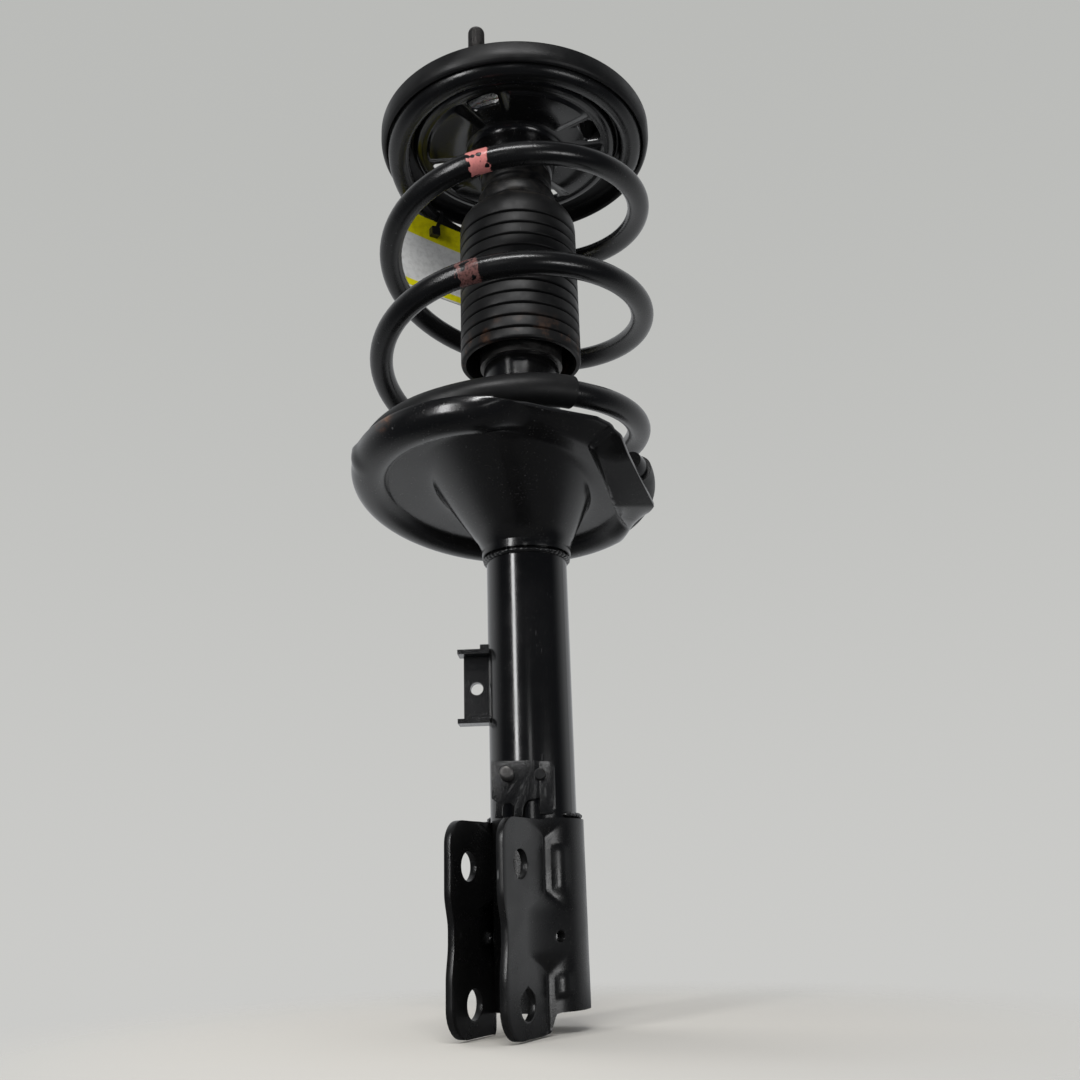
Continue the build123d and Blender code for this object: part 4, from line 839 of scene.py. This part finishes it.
# %% Knuckle bracket
sheet = 0.0035
wrap_middle = tube_radius + sheet / 2
ear_plane = 0.0125 + sheet / 2
ear_top, ear_bottom, wrap_top, wrap_bottom = -0.444, -0.5423, -0.443, -0.533
ear_reach, waist_reach, low_reach = 0.062, 0.0588, 0.0608
upper_bolt, lower_bolt = Vector((0, -0.045, -0.4655)), Vector((0, -0.0405, -0.5277))
waist_level, waist_to_top, waist_to_bottom = -0.497, (-0.4945, -0.4775), (-0.517, -0.500)
top_corner, bottom_corner = 0.0115, 0.014


def front_edge(z):
    """How far the ear reaches forward at this height, with its waist and round corners."""
    reach = (waist_reach + (ear_reach - waist_reach) * smooth(z, *waist_to_top)
             + (low_reach - waist_reach) * (1 - smooth(z, *waist_to_bottom)))
    for corner, level, inwards in ((top_corner, ear_top, 1), (bottom_corner, ear_bottom, -1)):
        into = corner - inwards * (level - z)
        if into > 0:
            reach -= corner - math.sqrt(max(corner ** 2 - min(into, corner) ** 2, 0.0))
    return reach


print("the ears reach", round(1000 * front_edge(upper_bolt.z), 1), "mm forward of the axis")

# %% [markdown]
# ## The bracket's section at each height
# The lobe is 1 beside a bolt hole and 0 at the waist, and it moves the place where the flat
# ear ends and the place where the blend meets the tube. The blend is a Bezier curve, and the
# wrap is pressed out a little beside each bolt.

# %% Bracket section
blend_waist, blend_ear = 0.040, 0.0225
meets_waist, meets_ear = -24, -43
dent_depth, dent_heights = 0.0009, ((-0.4785, -0.4565), (-0.5265, -0.5155))


def within(z, low, high, soft=0.002):
    """1 between two heights, with soft ends."""
    return smooth(z, low, low + soft) * (1 - smooth(z, high - soft, high))


def bracket_half(z):
    """Half of the plan section at a height, from the ear's front edge to the rear."""
    lobe = max(1 - smooth(abs(z - upper_bolt.z), 0.013, 0.022),
               1 - smooth(abs(z - lower_bolt.z), 0.012, 0.023))
    blend_start = blend_waist + (blend_ear - blend_waist) * lobe
    meets = math.radians(meets_waist + (meets_ear - meets_waist) * lobe)
    p0 = np.array((ear_plane, -blend_start))
    p3 = wrap_middle * np.array((math.cos(meets), math.sin(meets)))
    along = np.array((-math.sin(meets), math.cos(meets)))
    gap = np.linalg.norm(p3 - p0)
    p1 = p0 + np.array((0.0, (0.22 + 0.2 * lobe) * gap))
    p2 = p3 - 0.42 * gap * along
    reach = front_edge(z)
    points = [(ear_plane, -reach + (reach - blend_start) * share)
              for share in np.linspace(0, 1, 14, endpoint=False) ** 0.9]
    for share in np.linspace(0, 1, 14, endpoint=False):
        rest = 1 - share
        points.append(tuple(rest ** 3 * p0 + 3 * rest ** 2 * share * p1
                            + 3 * rest * share ** 2 * p2 + share ** 3 * p3))
    dented = dent_depth * sum(within(z, low, high) for low, high in dent_heights)
    for turn in np.linspace(meets, math.pi / 2, 26):
        degrees = math.degrees(turn)
        radius = wrap_middle + dented * (smooth(degrees, -44, -38) - smooth(degrees, -30, -24))
        points.append((radius * math.cos(turn), radius * math.sin(turn)))
    return points


print("a half section has", len(bracket_half(waist_level)), "points")

# %% [markdown]
# ## Stack the sections into a sheet
# Each row of the grid is one section, mirrored to make both ears. The ears hang lower than
# the wrap, so every column has its own top and bottom. The sheet is then thickened, drilled
# for the two clamp bolts and the small drain, and its edges are broken.

# %% Knuckle bracket sheet
bolt_hole_radius, drain_radius, drill_length = 0.0071, 0.0028, 0.08
rows = 0.5 - 0.5 * np.cos(np.linspace(0, math.pi, 72))
reference = bracket_half(waist_level)
grid = []
for share in rows:
    line = []
    for index, (x, y) in enumerate(reference):
        forward = -y
        top = wrap_top + (ear_top - wrap_top) * smooth(forward, 0.020, 0.026)
        bottom = wrap_bottom + (ear_bottom - wrap_bottom) * smooth(forward, 0.008, 0.030) ** 0.7
        z = bottom + (top - bottom) * share
        line.append((*bracket_half(z)[index], z))
    grid.append(line + [(-x, y, z) for x, y, z in line[-2::-1]])
bracket = grid_mesh("knuckle_bracket_sheet", np.array(grid), ring=False, caps=False)
thickened(bracket, sheet)
outward(bracket)
drain = Vector((0, -0.016, -0.499))
drilled(bracket, [(middle_point, (1, 0, 0), radius, drill_length) for middle_point, radius in
                  ((upper_bolt, bolt_hole_radius), (lower_bolt, bolt_hole_radius),
                   (drain, drain_radius))])
edges_broken(bracket, 0.0005)
finish_piece(bracket, "strut_body", "bracket_paint")
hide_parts("knuckle_bracket")
print("knuckle bracket:", len(bracket.data.polygons), "faces")

# %% [markdown]
# ## The lower spring seat
# This stamping has everything a press tool can do. A collar hugs the tube, a cone opens
# upwards from it, a flat web carries the cone, a round trough holds the sleeved coil, and
# towards the bracket's side the trough's lip falls away in an S-curve to a flat flange with
# a box pocket in it. Each column of the grid runs outwards from the collar to the rim. The
# seat is tilted, so the points are made in the seat's own frame and then turned.

# %% Lower seat profile
seat_sheet = 0.0022
seat_origin = np.array((0.0, seat_shift, seat_height))
seat_y = np.array((0.0, math.cos(seat_lean), -math.sin(seat_lean)))
seat_up = np.array((0.0, math.sin(seat_lean), math.cos(seat_lean)))
trough_middle = 0.0088 + seat_sheet / 2
web_level = -0.0025 - seat_sheet / 2
web_edge = coil_radius - math.sqrt(trough_middle ** 2 - web_level ** 2)
cone_foot, collar_low = -0.292, -0.299
collar_bore, collar_wall = 0.0225, 0.0025
cone_middle, cone_half, cone_angle = (0.007, -0.006), (0.055, 0.043), math.radians(-78.0)
pocket_angle = math.radians(11.8)
pocket_in, pocket_start, pocket_end, pocket_deep = 0.0575, -21.0, 22.5, 0.0064
rim_edge = 0.0854


def in_seat(x, y, h):
    """A point of the tilted seat frame in the row frame."""
    return seat_origin + np.array((x, 0.0, 0.0)) + y * seat_y + h * seat_up


def trough_share(turn):
    """1 where the trough is round, 0 along the flat flange; turn in degrees."""
    turn = turn % 360
    return smooth(turn, pocket_end - 0.5, 60.0) * (1 - smooth(turn, 286.0, 309.0))


print("the web's edge is", round(1000 * web_edge, 1), "mm from the seat's middle")

# %% [markdown]
# ## The seat's flange and pocket
# Beside the round trough the sheet is flat and its edge is cut straight between corners. The
# wire's end sits over a box pocket that deepens like a ramp, and the flange's corner is
# turned up a little.

# %% Flange and pocket
def between(turn, first, first_radius, last, last_radius):
    """Radius of the straight line between two points given by turn and radius."""
    to_first, to_last = math.radians(turn - first), math.radians(last - turn)
    return (first_radius * last_radius * math.sin(to_first + to_last)
            / (first_radius * math.sin(to_first) + last_radius * math.sin(to_last)))


def flange_edge(turn):
    """Distance of the sheet's cut edge from the seat's middle; turn in degrees."""
    turn = (turn + 180) % 360 - 180
    corners = [(-60.0, rim_edge), (-29.0, 0.0860), (-18.0, 0.0862), (pocket_end, 0.0822),
               (62.0, rim_edge)]
    for (first, first_radius), (last, last_radius) in zip(corners, corners[1:]):
        if first <= turn <= last:
            return between(turn, first, first_radius, last, last_radius)
    return rim_edge + 0.0014 * math.exp(-((turn + 133) / 3.5) ** 2)


def pocket_drop(x, y):
    """Depth of the box pocket under a point: a ramp that deepens towards the trough."""
    turn = math.degrees(math.atan2(y, x))
    p = x * math.cos(pocket_angle) + y * math.sin(pocket_angle)
    wall = 0.0028
    inside = smooth(p, pocket_in - 0.001, pocket_in + wall)
    inside *= 1 - smooth(turn, 36.0, 60.0)
    ramp = min(max((turn - pocket_start) / (pocket_end - pocket_start), 0.0), 1.0)
    return inside * (0.0020 * smooth(turn, pocket_start - 2.0, pocket_start) + pocket_deep * ramp)


def edge_lift(radius, turn):
    """How far the flange's outer edge is turned up towards its corner."""
    turn = (turn + 180) % 360 - 180
    share = smooth(turn, -80.0, -50.0) * (1 - smooth(turn, -24.0, -8.0))
    return 0.0040 * share * smooth(radius, 0.068, 0.086)


print("the cut edge is", round(1000 * flange_edge(0), 1), "mm out at the pocket")

# %% [markdown]
# ## One column of the lower seat
# A column runs from the collar up the cone, bends onto the web and ends in the trough's lip
# or in the flange's cut edge. Where the trough fades out, each of its points slides onto the
# flat sheet, so the two shapes share one grid and the S-curve between them comes by itself.

# %% Lower seat grid
def seat_column(turn):
    """Points of one column from the collar's foot out to the lip."""
    angle = math.radians(turn)
    ray = np.array((math.cos(angle), math.sin(angle)))
    collar = collar_bore + collar_wall - seat_sheet / 2
    foot = [np.array((collar * ray[0], collar * ray[1], z))
            for z in (collar_low, collar_low + 0.003, cone_foot - 0.002)]
    # where this direction's ray leaves the cone's ellipse on the web
    rim_x, rim_y = cone_half[0] * math.cos(angle - cone_angle), cone_half[1] * math.sin(angle - cone_angle)
    cone_x = cone_middle[0] + rim_x * math.cos(cone_angle) - rim_y * math.sin(cone_angle)
    cone_y = cone_middle[1] + rim_x * math.sin(cone_angle) + rim_y * math.cos(cone_angle)
    cone_top = in_seat(cone_x, cone_y, web_level)
    cone_low = np.array((collar * ray[0], collar * ray[1], cone_foot))
    away = math.atan2(cone_y, cone_x)
    web_out = in_seat(web_edge * math.cos(away), web_edge * math.sin(away), web_level)
    points = list(foot)
    knee = 0.16
    for share in np.linspace(0, 1, 16):
        line = cone_low + (cone_top - cone_low) * (knee * 0.5 + (1 - knee) * share)
        points.append(line)
    before = points[-1]
    after = cone_top + (web_out - cone_top) * 0.45
    for share in (0.2, 0.4, 0.6, 0.8):
        rest = 1 - share
        points.append(rest ** 2 * before + 2 * rest * share * cone_top + share ** 2 * after)
    for share in np.linspace(0.45, 1, 12, endpoint=False):
        x = cone_x + (web_edge * math.cos(away) - cone_x) * share
        y = cone_y + (web_edge * math.sin(away) - cone_y) * share
        points.append(in_seat(x, y, web_level - pocket_drop(x, y)))
    # trough and lip, or the flat flange
    deep = trough_share(math.degrees(away))
    start = math.atan2(web_level, web_edge - coil_radius)
    outer_radius = coil_radius + trough_middle
    band = []
    for share in np.linspace(0, 1, 26):
        swing = start - share * start
        band.append((coil_radius + trough_middle * math.cos(swing), trough_middle * math.sin(swing)))
    band += [(outer_radius, 0.003 * share) for share in (0.5, 1.0)]
    edge = flange_edge(math.degrees(away))
    lip_reach, round_reach = edge - seat_sheet / 2 - coil_radius, outer_radius - coil_radius
    for index, (radius, level) in enumerate(band):
        flat = web_edge + (edge - web_edge) * index / (len(band) - 1)
        if radius > coil_radius:
            radius = coil_radius + (radius - coil_radius) * lip_reach / round_reach
        x, y = flat * math.cos(away), flat * math.sin(away)
        plain = web_level - pocket_drop(x, y) + edge_lift(flat, math.degrees(away))
        radius = flat + (radius - flat) * deep
        points.append(in_seat(radius * math.cos(away), radius * math.sin(away),
                              plain + (level - plain) * deep))
    return points


print("a column has", len(seat_column(0)), "points")

# %% [markdown]
# ## Thicken the lower seat
# One column per degree makes a closed ring of sheet. It is thickened like the bracket, its
# cut edges are broken, and it takes the place of the CAD seat.

# %% Lower seat sheet
turns = np.linspace(0, 360, 360, endpoint=False)
seat_grid = np.array([seat_column(turn) for turn in turns])
seat = grid_mesh("lower_seat_sheet", seat_grid, ring=False, loop=True, caps=False)
thickened(seat, seat_sheet)
outward(seat)
edges_broken(seat, 0.0004)
finish_piece(seat, "strut_body", "seat_paint")
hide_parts("lower_spring_seat")
print("lower seat:", len(seat.data.polygons), "faces")

# %% [markdown]
# ## Turned pieces with soft corners
# Rubber and pressed rims are turned shapes with rounded corners. An outline is a list of
# (radius, height, rounding) corners, and each corner becomes a short curve. Turning the
# closed outline round the axis gives the piece.

# %% Turned pieces
def rounded(corners, steps=5, closed=True):
    """Outline through (radius, height, rounding) corners, each drawn as a short curve."""
    points = []
    for index, (r, z, rounding) in enumerate(corners):
        here = np.array((r, z))
        before = np.array(corners[index - 1][:2])
        after = np.array(corners[(index + 1) % len(corners)][:2])
        if not closed and index in (0, len(corners) - 1):
            points.append(tuple(here))
            continue
        near = here + (before - here) * min(0.5, rounding / np.linalg.norm(before - here))
        far = here + (after - here) * min(0.5, rounding / np.linalg.norm(after - here))
        for share in np.linspace(0, 1, steps):
            points.append(tuple((1 - share) ** 2 * near + 2 * (1 - share) * share * here
                                + share ** 2 * far))
    return points


def turned_piece(name, outline, steps=180):
    """Turns a closed outline of (radius, height) points round the strut's axis."""
    grid = np.array([[(r * math.cos(angle), r * math.sin(angle), z) for r, z in outline]
                     for angle in np.linspace(0, 2 * math.pi, steps, endpoint=False)])
    piece = grid_mesh(name, grid, ring=True, loop=True, caps=False, smooth_below=50)
    outward(piece)
    return piece


print("turned pieces ready")

# %% [markdown]
# ## The dust boot
# The boot's ribs are broad and nearly flat, with narrow grooves between them, so they catch
# the light only along their edges. A fat bead at the neck grips the bump stop's cup.

# %% Dust boot
boot_top, boot_foot, rib_pitch, rib_count, first_rib = boot_high.z, boot_low.z, 0.00775, 11, 0.0065
outer = [(0.0222, boot_top, 0.0004), (0.0222, -0.0545, 0.001), (0.0205, -0.0558, 0.0006),
         (0.0205, -0.0597, 0.0006), (0.0243, -0.0606, 0.0032), (0.0243, -0.0690, 0.0032),
         (0.0226, -0.0704, 0.0006), (0.0295, -0.0742, 0.0040), (0.0360, -0.0822, 0.0050)]
for rib in range(rib_count - 1, -1, -1):
    level = boot_foot + first_rib + rib * rib_pitch
    outer += [(boot_radius, level + 0.0012, 0.0006), (boot_radius - 0.0017, level + 0.0005, 0.0003),
              (boot_radius, level - 0.0003, 0.0004)]
outer += [(boot_radius, boot_foot + 0.0010, 0.0008), (boot_radius - 0.0008, boot_foot, 0.0004)]
inner = [(0.0331, boot_foot, 0.0004), (0.0328, -0.0850, 0.004), (0.0280, -0.0780, 0.003),
         (0.0210, -0.0735, 0.003), (0.0184, -0.0700, 0.002), (0.0184, boot_top, 0.0003)]
boot = turned_piece("dust_boot_ribs", rounded(outer + inner, 4))
finish_piece(boot, "upper_seat", "boot_rubber")
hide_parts("dust_boot")
print("boot:", rib_count, "grooves,", round(1000 * rib_pitch, 2), "mm apart")

# %% [markdown]
# ## The upper seat's rubber
# The rubber wraps over the steel rim, so its outer corners are soft. It lines the channel
# that the top coil sits in.

# %% Upper rubber
pad_low, pad_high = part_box("upper_spring_pad")
rim_radius, channel_radius, lining_radius = (pad_high.x - pad_low.x) / 2, 0.065, 0.0812
rubber_roof = -0.0174
rim_corners = [(rim_radius, -0.0150, 0.0008), (rim_radius, -0.0235, 0.0035),
               (rim_radius - 0.0022, pad_low.z, 0.0030), (lining_radius, pad_low.z + 0.0012, 0.0012),
               (lining_radius, rubber_roof, 0.003), (channel_radius + 0.0017, rubber_roof, 0.002),
               (channel_radius + 0.0017, -0.0220, 0.0006), (channel_radius + 0.0002, -0.0220, 0.0004),
               (channel_radius + 0.0002, -0.0153, 0.0010), (rim_radius - 0.0020, -0.0150, 0.0006)]
pad = turned_piece("upper_pad_rubber", rounded(rim_corners))
finish_piece(pad, "upper_seat", "rubber")
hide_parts("upper_spring_pad")
print("rubber rim", round(2000 * rim_radius, 1), "mm across")

# %% [markdown]
# ## A punch for windows
# A press punches openings with a tool of their outline. The helper raises a closed block from
# the outline and cuts it out of the sheet.

# %% Window punch
def punched(piece, outline, low, high):
    """Cuts an opening whose outline is a list of (x, y) points, from one height to another."""
    work = bmesh.new()
    floor_face = work.faces.new([work.verts.new((x, y, low)) for x, y in outline])
    walls = bmesh.ops.extrude_face_region(work, geom=[floor_face])
    bmesh.ops.translate(work, vec=(0, 0, high - low),
                        verts=[part for part in walls["geom"] if isinstance(part, bmesh.types.BMVert)])
    bmesh.ops.recalc_face_normals(work, faces=work.faces)
    cut_away(piece, from_work("punch", work))
    return piece


def kidney(middle_turn, half_span, inner_radius, outer_radius):
    """Outline of a kidney-shaped opening, its ends drawn in to round them."""
    edge = []
    for radius, direction in ((outer_radius, 1), (inner_radius, -1)):
        for share in np.linspace(-1, 1, 15):
            pull = 0.0022 * max(0.0, abs(share) - 0.8) / 0.2
            turn = math.radians(middle_turn + direction * share * half_span)
            r = radius - direction * pull
            edge.append((r * math.cos(turn), r * math.sin(turn)))
    return edge


print("punch ready")

# %% [markdown]
# ## The upper spring seat
# A hub carries the bearing, a web spreads out from it and a channel round the edge holds the
# rubber and the top coil. Between four windows the web is pressed down into shallow kidneys,
# which stiffen it. All its corners are rolled, so each ring draws one thin bright arc.

# %% Upper spring seat
window_count, window_first, window_half_span = 4, -84.0, 11.0
window_inner, window_outer = 0.0450, 0.0560
emboss_first, emboss_depth = -39.0, 0.0024
window_spacing = 360.0 / window_count
hub_low = -0.0449
corners = [(0.0134, hub_low, 0.0), (0.0219, hub_low, 0.003), (0.0262, -0.0260, 0.004),
           (0.0305, -0.0231, 0.003), (0.0565, -0.0231, 0.002), (0.0600, -0.0249, 0.003),
           (0.0639, -0.0236, 0.0034), (0.0639, -0.0141, 0.003), (0.0829, -0.0141, 0.003),
           (0.0829, -0.0260, 0.0)]
profile = rounded(corners, 6, closed=False)
seat_rows = []
for turn in np.arange(0.0, 360.0, 1.5):
    to_emboss = abs((turn - emboss_first + window_spacing / 2) % window_spacing - window_spacing / 2)
    row = []
    for r, z in profile:
        press = smooth(r, 0.031, 0.036) * (1 - smooth(r, 0.054, 0.0575))
        z -= emboss_depth * press * (1 - smooth(to_emboss, 25.0, 32.0))
        row.append((r * math.cos(math.radians(turn)), r * math.sin(math.radians(turn)), z))
    seat_rows.append(row)
upper_seat = grid_mesh("upper_seat_sheet", np.array(seat_rows), ring=False, loop=True, caps=False)
thickened(upper_seat, seat_sheet)
outward(upper_seat)
for number in range(window_count):
    outline = kidney(window_first + window_spacing * number, window_half_span, window_inner,
                     window_outer)
    punched(upper_seat, outline, -0.030, -0.015)
edges_broken(upper_seat, 0.0004)
finish_piece(upper_seat, "upper_seat", "seat_paint")
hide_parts("upper_spring_seat")
print("upper seat:", len(upper_seat.data.polygons), "faces")

# %% [markdown]
# ## The sensor bracket
# A folded plate stands on the tube's front. Its left flap is proud of the tube and ends in a
# fork, a joggle brings it down, and its right leaf lies on the tube under a rivet. Outlines
# are given across the plate and up from the stud, in millimetres.

# %% Sensor bracket
def prisms(name, parts, place_at):
    """Closed prisms in one mesh: each part is (outline, depth at its back, depth at its front)."""
    work = bmesh.new()
    for outline, back, front in parts:
        count = len(outline)
        low_ring = [work.verts.new(place_at(u, v, back)) for u, v in outline]
        high_ring = [work.verts.new(place_at(u, v, front)) for u, v in outline]
        work.faces.new(low_ring)
        work.faces.new(high_ring)
        for index in range(count):
            after = (index + 1) % count
            work.faces.new((low_ring[index], low_ring[after], high_ring[after], high_ring[index]))
    bmesh.ops.recalc_face_normals(work, faces=work.faces)
    return from_work(name, work)


pin_turn, pin_radius, pin_left, pin_level = math.radians(-63.0), 0.0035, 0.0125, -0.4215
plate_fold, plate_sheet, pin_stands = 0.002, 0.002, 0.012
pin_axis = Vector((math.cos(pin_turn), math.sin(pin_turn), 0))
pin_across = Vector((-pin_axis.y, pin_axis.x, 0))


def on_plate(u, v, depth):
    """A point across the plate (u), up from the stud (v) and out from the tube, in mm."""
    return (pin_axis * (tube_radius + depth / 1000) + pin_across * (u / 1000)
            + Vector((0, 0, pin_level + v / 1000)))


arch = [(-12.0 - 2.9 * math.cos(turn), -17.0 + 2.9 * math.sin(turn))
        for turn in np.linspace(0, math.pi, 11)]
flap = ([(-20.5, 7.0), (-20.5, -11.5), (-18.2, -13.2), (-19.0, -21.0), (-14.9, -21.0)] + arch
        + [(-9.1, -21.0), (-5.0, -21.0), (-4.6, -16.0), (-2.5, -13.0), (1.8, -12.5), (1.8, 7.0)])
leaf = [(3.6, 6.6), (3.6, -20.0), (9.4, -20.0), (11.6, -17.5), (11.6, 3.6), (8.8, 6.6)]
plate = prisms("sensor_bracket_plate", [(flap, 2.0, 4.0), (leaf, -0.6, 2.0)], on_plate)
joggle = prisms("sensor_bracket_joggle", [([(1.2, 2.2), (3.8, 0.0), (3.8, 2.0), (1.2, 4.0)], -12.0, 6.6)],
                lambda u, depth, v: on_plate(u, v, depth))
for piece in (plate, joggle):
    edges_broken(piece, 0.00045)
    finish_piece(piece, "strut_body", "bracket_paint", grainy)
    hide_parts("sensor_bracket")
print("sensor bracket: two leaves and a joggle")

# %% [markdown]
# ## The threaded stud of the sensor bracket
# The lead of a wheel sensor is held by a clip on this short stud. It points straight out of
# the bracket's plate, so its direction is the plate's turn round the tube.

# %% Sensor stud
pin_foot = pin_axis * (tube_radius + plate_fold) - pin_across * pin_left + Vector((0, 0, pin_level))
pin_length = plate_sheet + pin_stands
pin = threaded("sensor_stud_thread", pin_foot, pin_axis, pin_radius, pin_length, 0.001, 0.003,
               0.0015, plate_sheet)
finish_piece(pin, "strut_body", "zinc_steel")
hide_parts("sensor_stud")
print("sensor stud", round(1000 * pin_length, 1), "mm long,", round(2000 * pin_radius, 1), "mm thick")

# %% [markdown]
# ## Floor
# The strut stands on a plain pale floor. The floor's material fades to nothing away from
# the strut, so there is no edge between it and the pale backdrop.

# %% Floor
floor_radius, fade_from, fade_to = 2.0, 0.10, 0.34
floor_gap = 0.0002
work = bmesh.new()
bmesh.ops.create_circle(work, cap_ends=True, radius=floor_radius, segments=96)
floor = from_work("floor", work)
floor.location.z = cad_low.z - floor_gap
pale, tree = new_tree("pale_floor")
place = object_place(tree)
away = add(tree, "VectorMath", {0: place}, operation="LENGTH").outputs["Value"]
# Mirror rays see the floor dark grey instead of pale: a painted dark reflection that keeps black paint
# facing the floor dark.
mirrored = add(tree, "LightPath").outputs["Is Glossy Ray"]
matt = add(tree, "BsdfDiffuse", {"Color": mix_colour(tree, mirrored, (0.80, 0.77, 0.70), grey(0.12))})
clear = add(tree, "BsdfTransparent")
fade = add(tree, "MixShader", {0: fit(tree, away, fade_from, fade_to), 1: matt.outputs[0],
                               2: clear.outputs[0]})
add(tree, "OutputMaterial", {"Surface": fade.outputs[0]})
floor.data.materials.append(pale)
print("floor at", round(1000 * floor.location.z, 1), "mm")

# %% [markdown]
# ## Backdrop and room
# The world does three jobs. The camera sees a plain pale backdrop, a little darker at the
# top. Mirror rays see a room that is pale behind the strut and dim in front, which gives
# black paint its bright edges. All other light is a soft, even and slightly cool grey.

# %% World
world = bpy.data.worlds.new("room")
world.use_nodes = True
bpy.context.scene.world = world
tree = world.node_tree
tree.nodes.clear()
direction = add(tree, "TexCoord").outputs["Generated"]
upward = add(tree, "SeparateXYZ", {0: direction}).outputs[2]
backdrop = mix_colour(tree, fit(tree, upward, -0.15, 0.75), (0.60, 0.60, 0.585), (0.49, 0.495, 0.48))
behind = Vector((-math.sin(heading), math.cos(heading), 0.2)).normalized()
facing = add(tree, "VectorMath", {0: direction, 1: tuple(behind)}, operation="DOT_PRODUCT")
room = mix_colour(tree, fit(tree, facing.outputs["Value"], -0.2, 0.55), (0.03, 0.033, 0.042),
                  (0.56, 0.57, 0.58))
path = add(tree, "LightPath")
mirror = maths(tree, "MAXIMUM", path.outputs["Is Glossy Ray"], path.outputs["Is Transmission Ray"])
seen = mix_colour(tree, mirror, (0.29, 0.30, 0.33), room)
seen = mix_colour(tree, path.outputs["Is Camera Ray"], seen, backdrop)
background = add(tree, "Background", {"Color": seen, "Strength": 1.0})
add(tree, "OutputWorld", {"Surface": background.outputs[0]})
print("the room is pale behind the strut")

# %% [markdown]
# ## Lamps
# A tall strip in front stands for a window and draws the long bright lines down the tube and
# along the coils, and a long lamp overhead lights the tops of the rims. Two small weak lamps
# graze the brackets, one from the front and one low at the right. They give most of their
# light to reflections, so black paint gets a sheen and stays black. A large weak one from the
# side opens up the shadows, and reflections don't show it.

# %% Lamps
def soft_lamp(name, place, target, width, depth, watts):
    """A rectangular area lamp aimed at a point."""
    light = bpy.data.lights.new(name, "AREA")
    light.shape = "RECTANGLE"
    light.size = width
    light.size_y = depth
    light.energy = watts
    lamp = bpy.data.objects.new(name, light)
    lamp.location = place
    lamp.rotation_mode = "QUATERNION"
    lamp.rotation_quaternion = (Vector(target) - Vector(place)).to_track_quat("-Z", "Y")
    bpy.context.scene.collection.objects.link(lamp)
    return lamp


middle = (cad_low + cad_high) / 2
soft_lamp("window_strip", (-0.25, -1.17, -0.02), middle, 0.17, 0.75, 5.5)
soft_lamp("ceiling_lamp", (0.45, -0.95, 0.55), (0, 0, -0.15), 0.75, 0.14, 9.0)
front = soft_lamp("front_glow", (0.56, -1.22, -0.30), (0, 0, -0.40), 0.16, 0.20, 0.22)
front.data.diffuse_factor = 0.2
low = soft_lamp("low_window", (0.95, -0.34, -0.50), (0, 0, -0.49), 0.36, 0.20, 1.6)
low.data.diffuse_factor = 0.2
side = soft_lamp("side_lamp", (-1.3, 0.25, 0.1), middle, 0.9, 0.9, 7.0)
side.visible_glossy = False
print("five lamps")

# %% [markdown]
# ## The view transform
# Colours are shown with the Standard view transform. The visible model has to stay inside
# the CAD model's box.

# %% View transform
bpy.context.scene.view_settings.view_transform = "Standard"
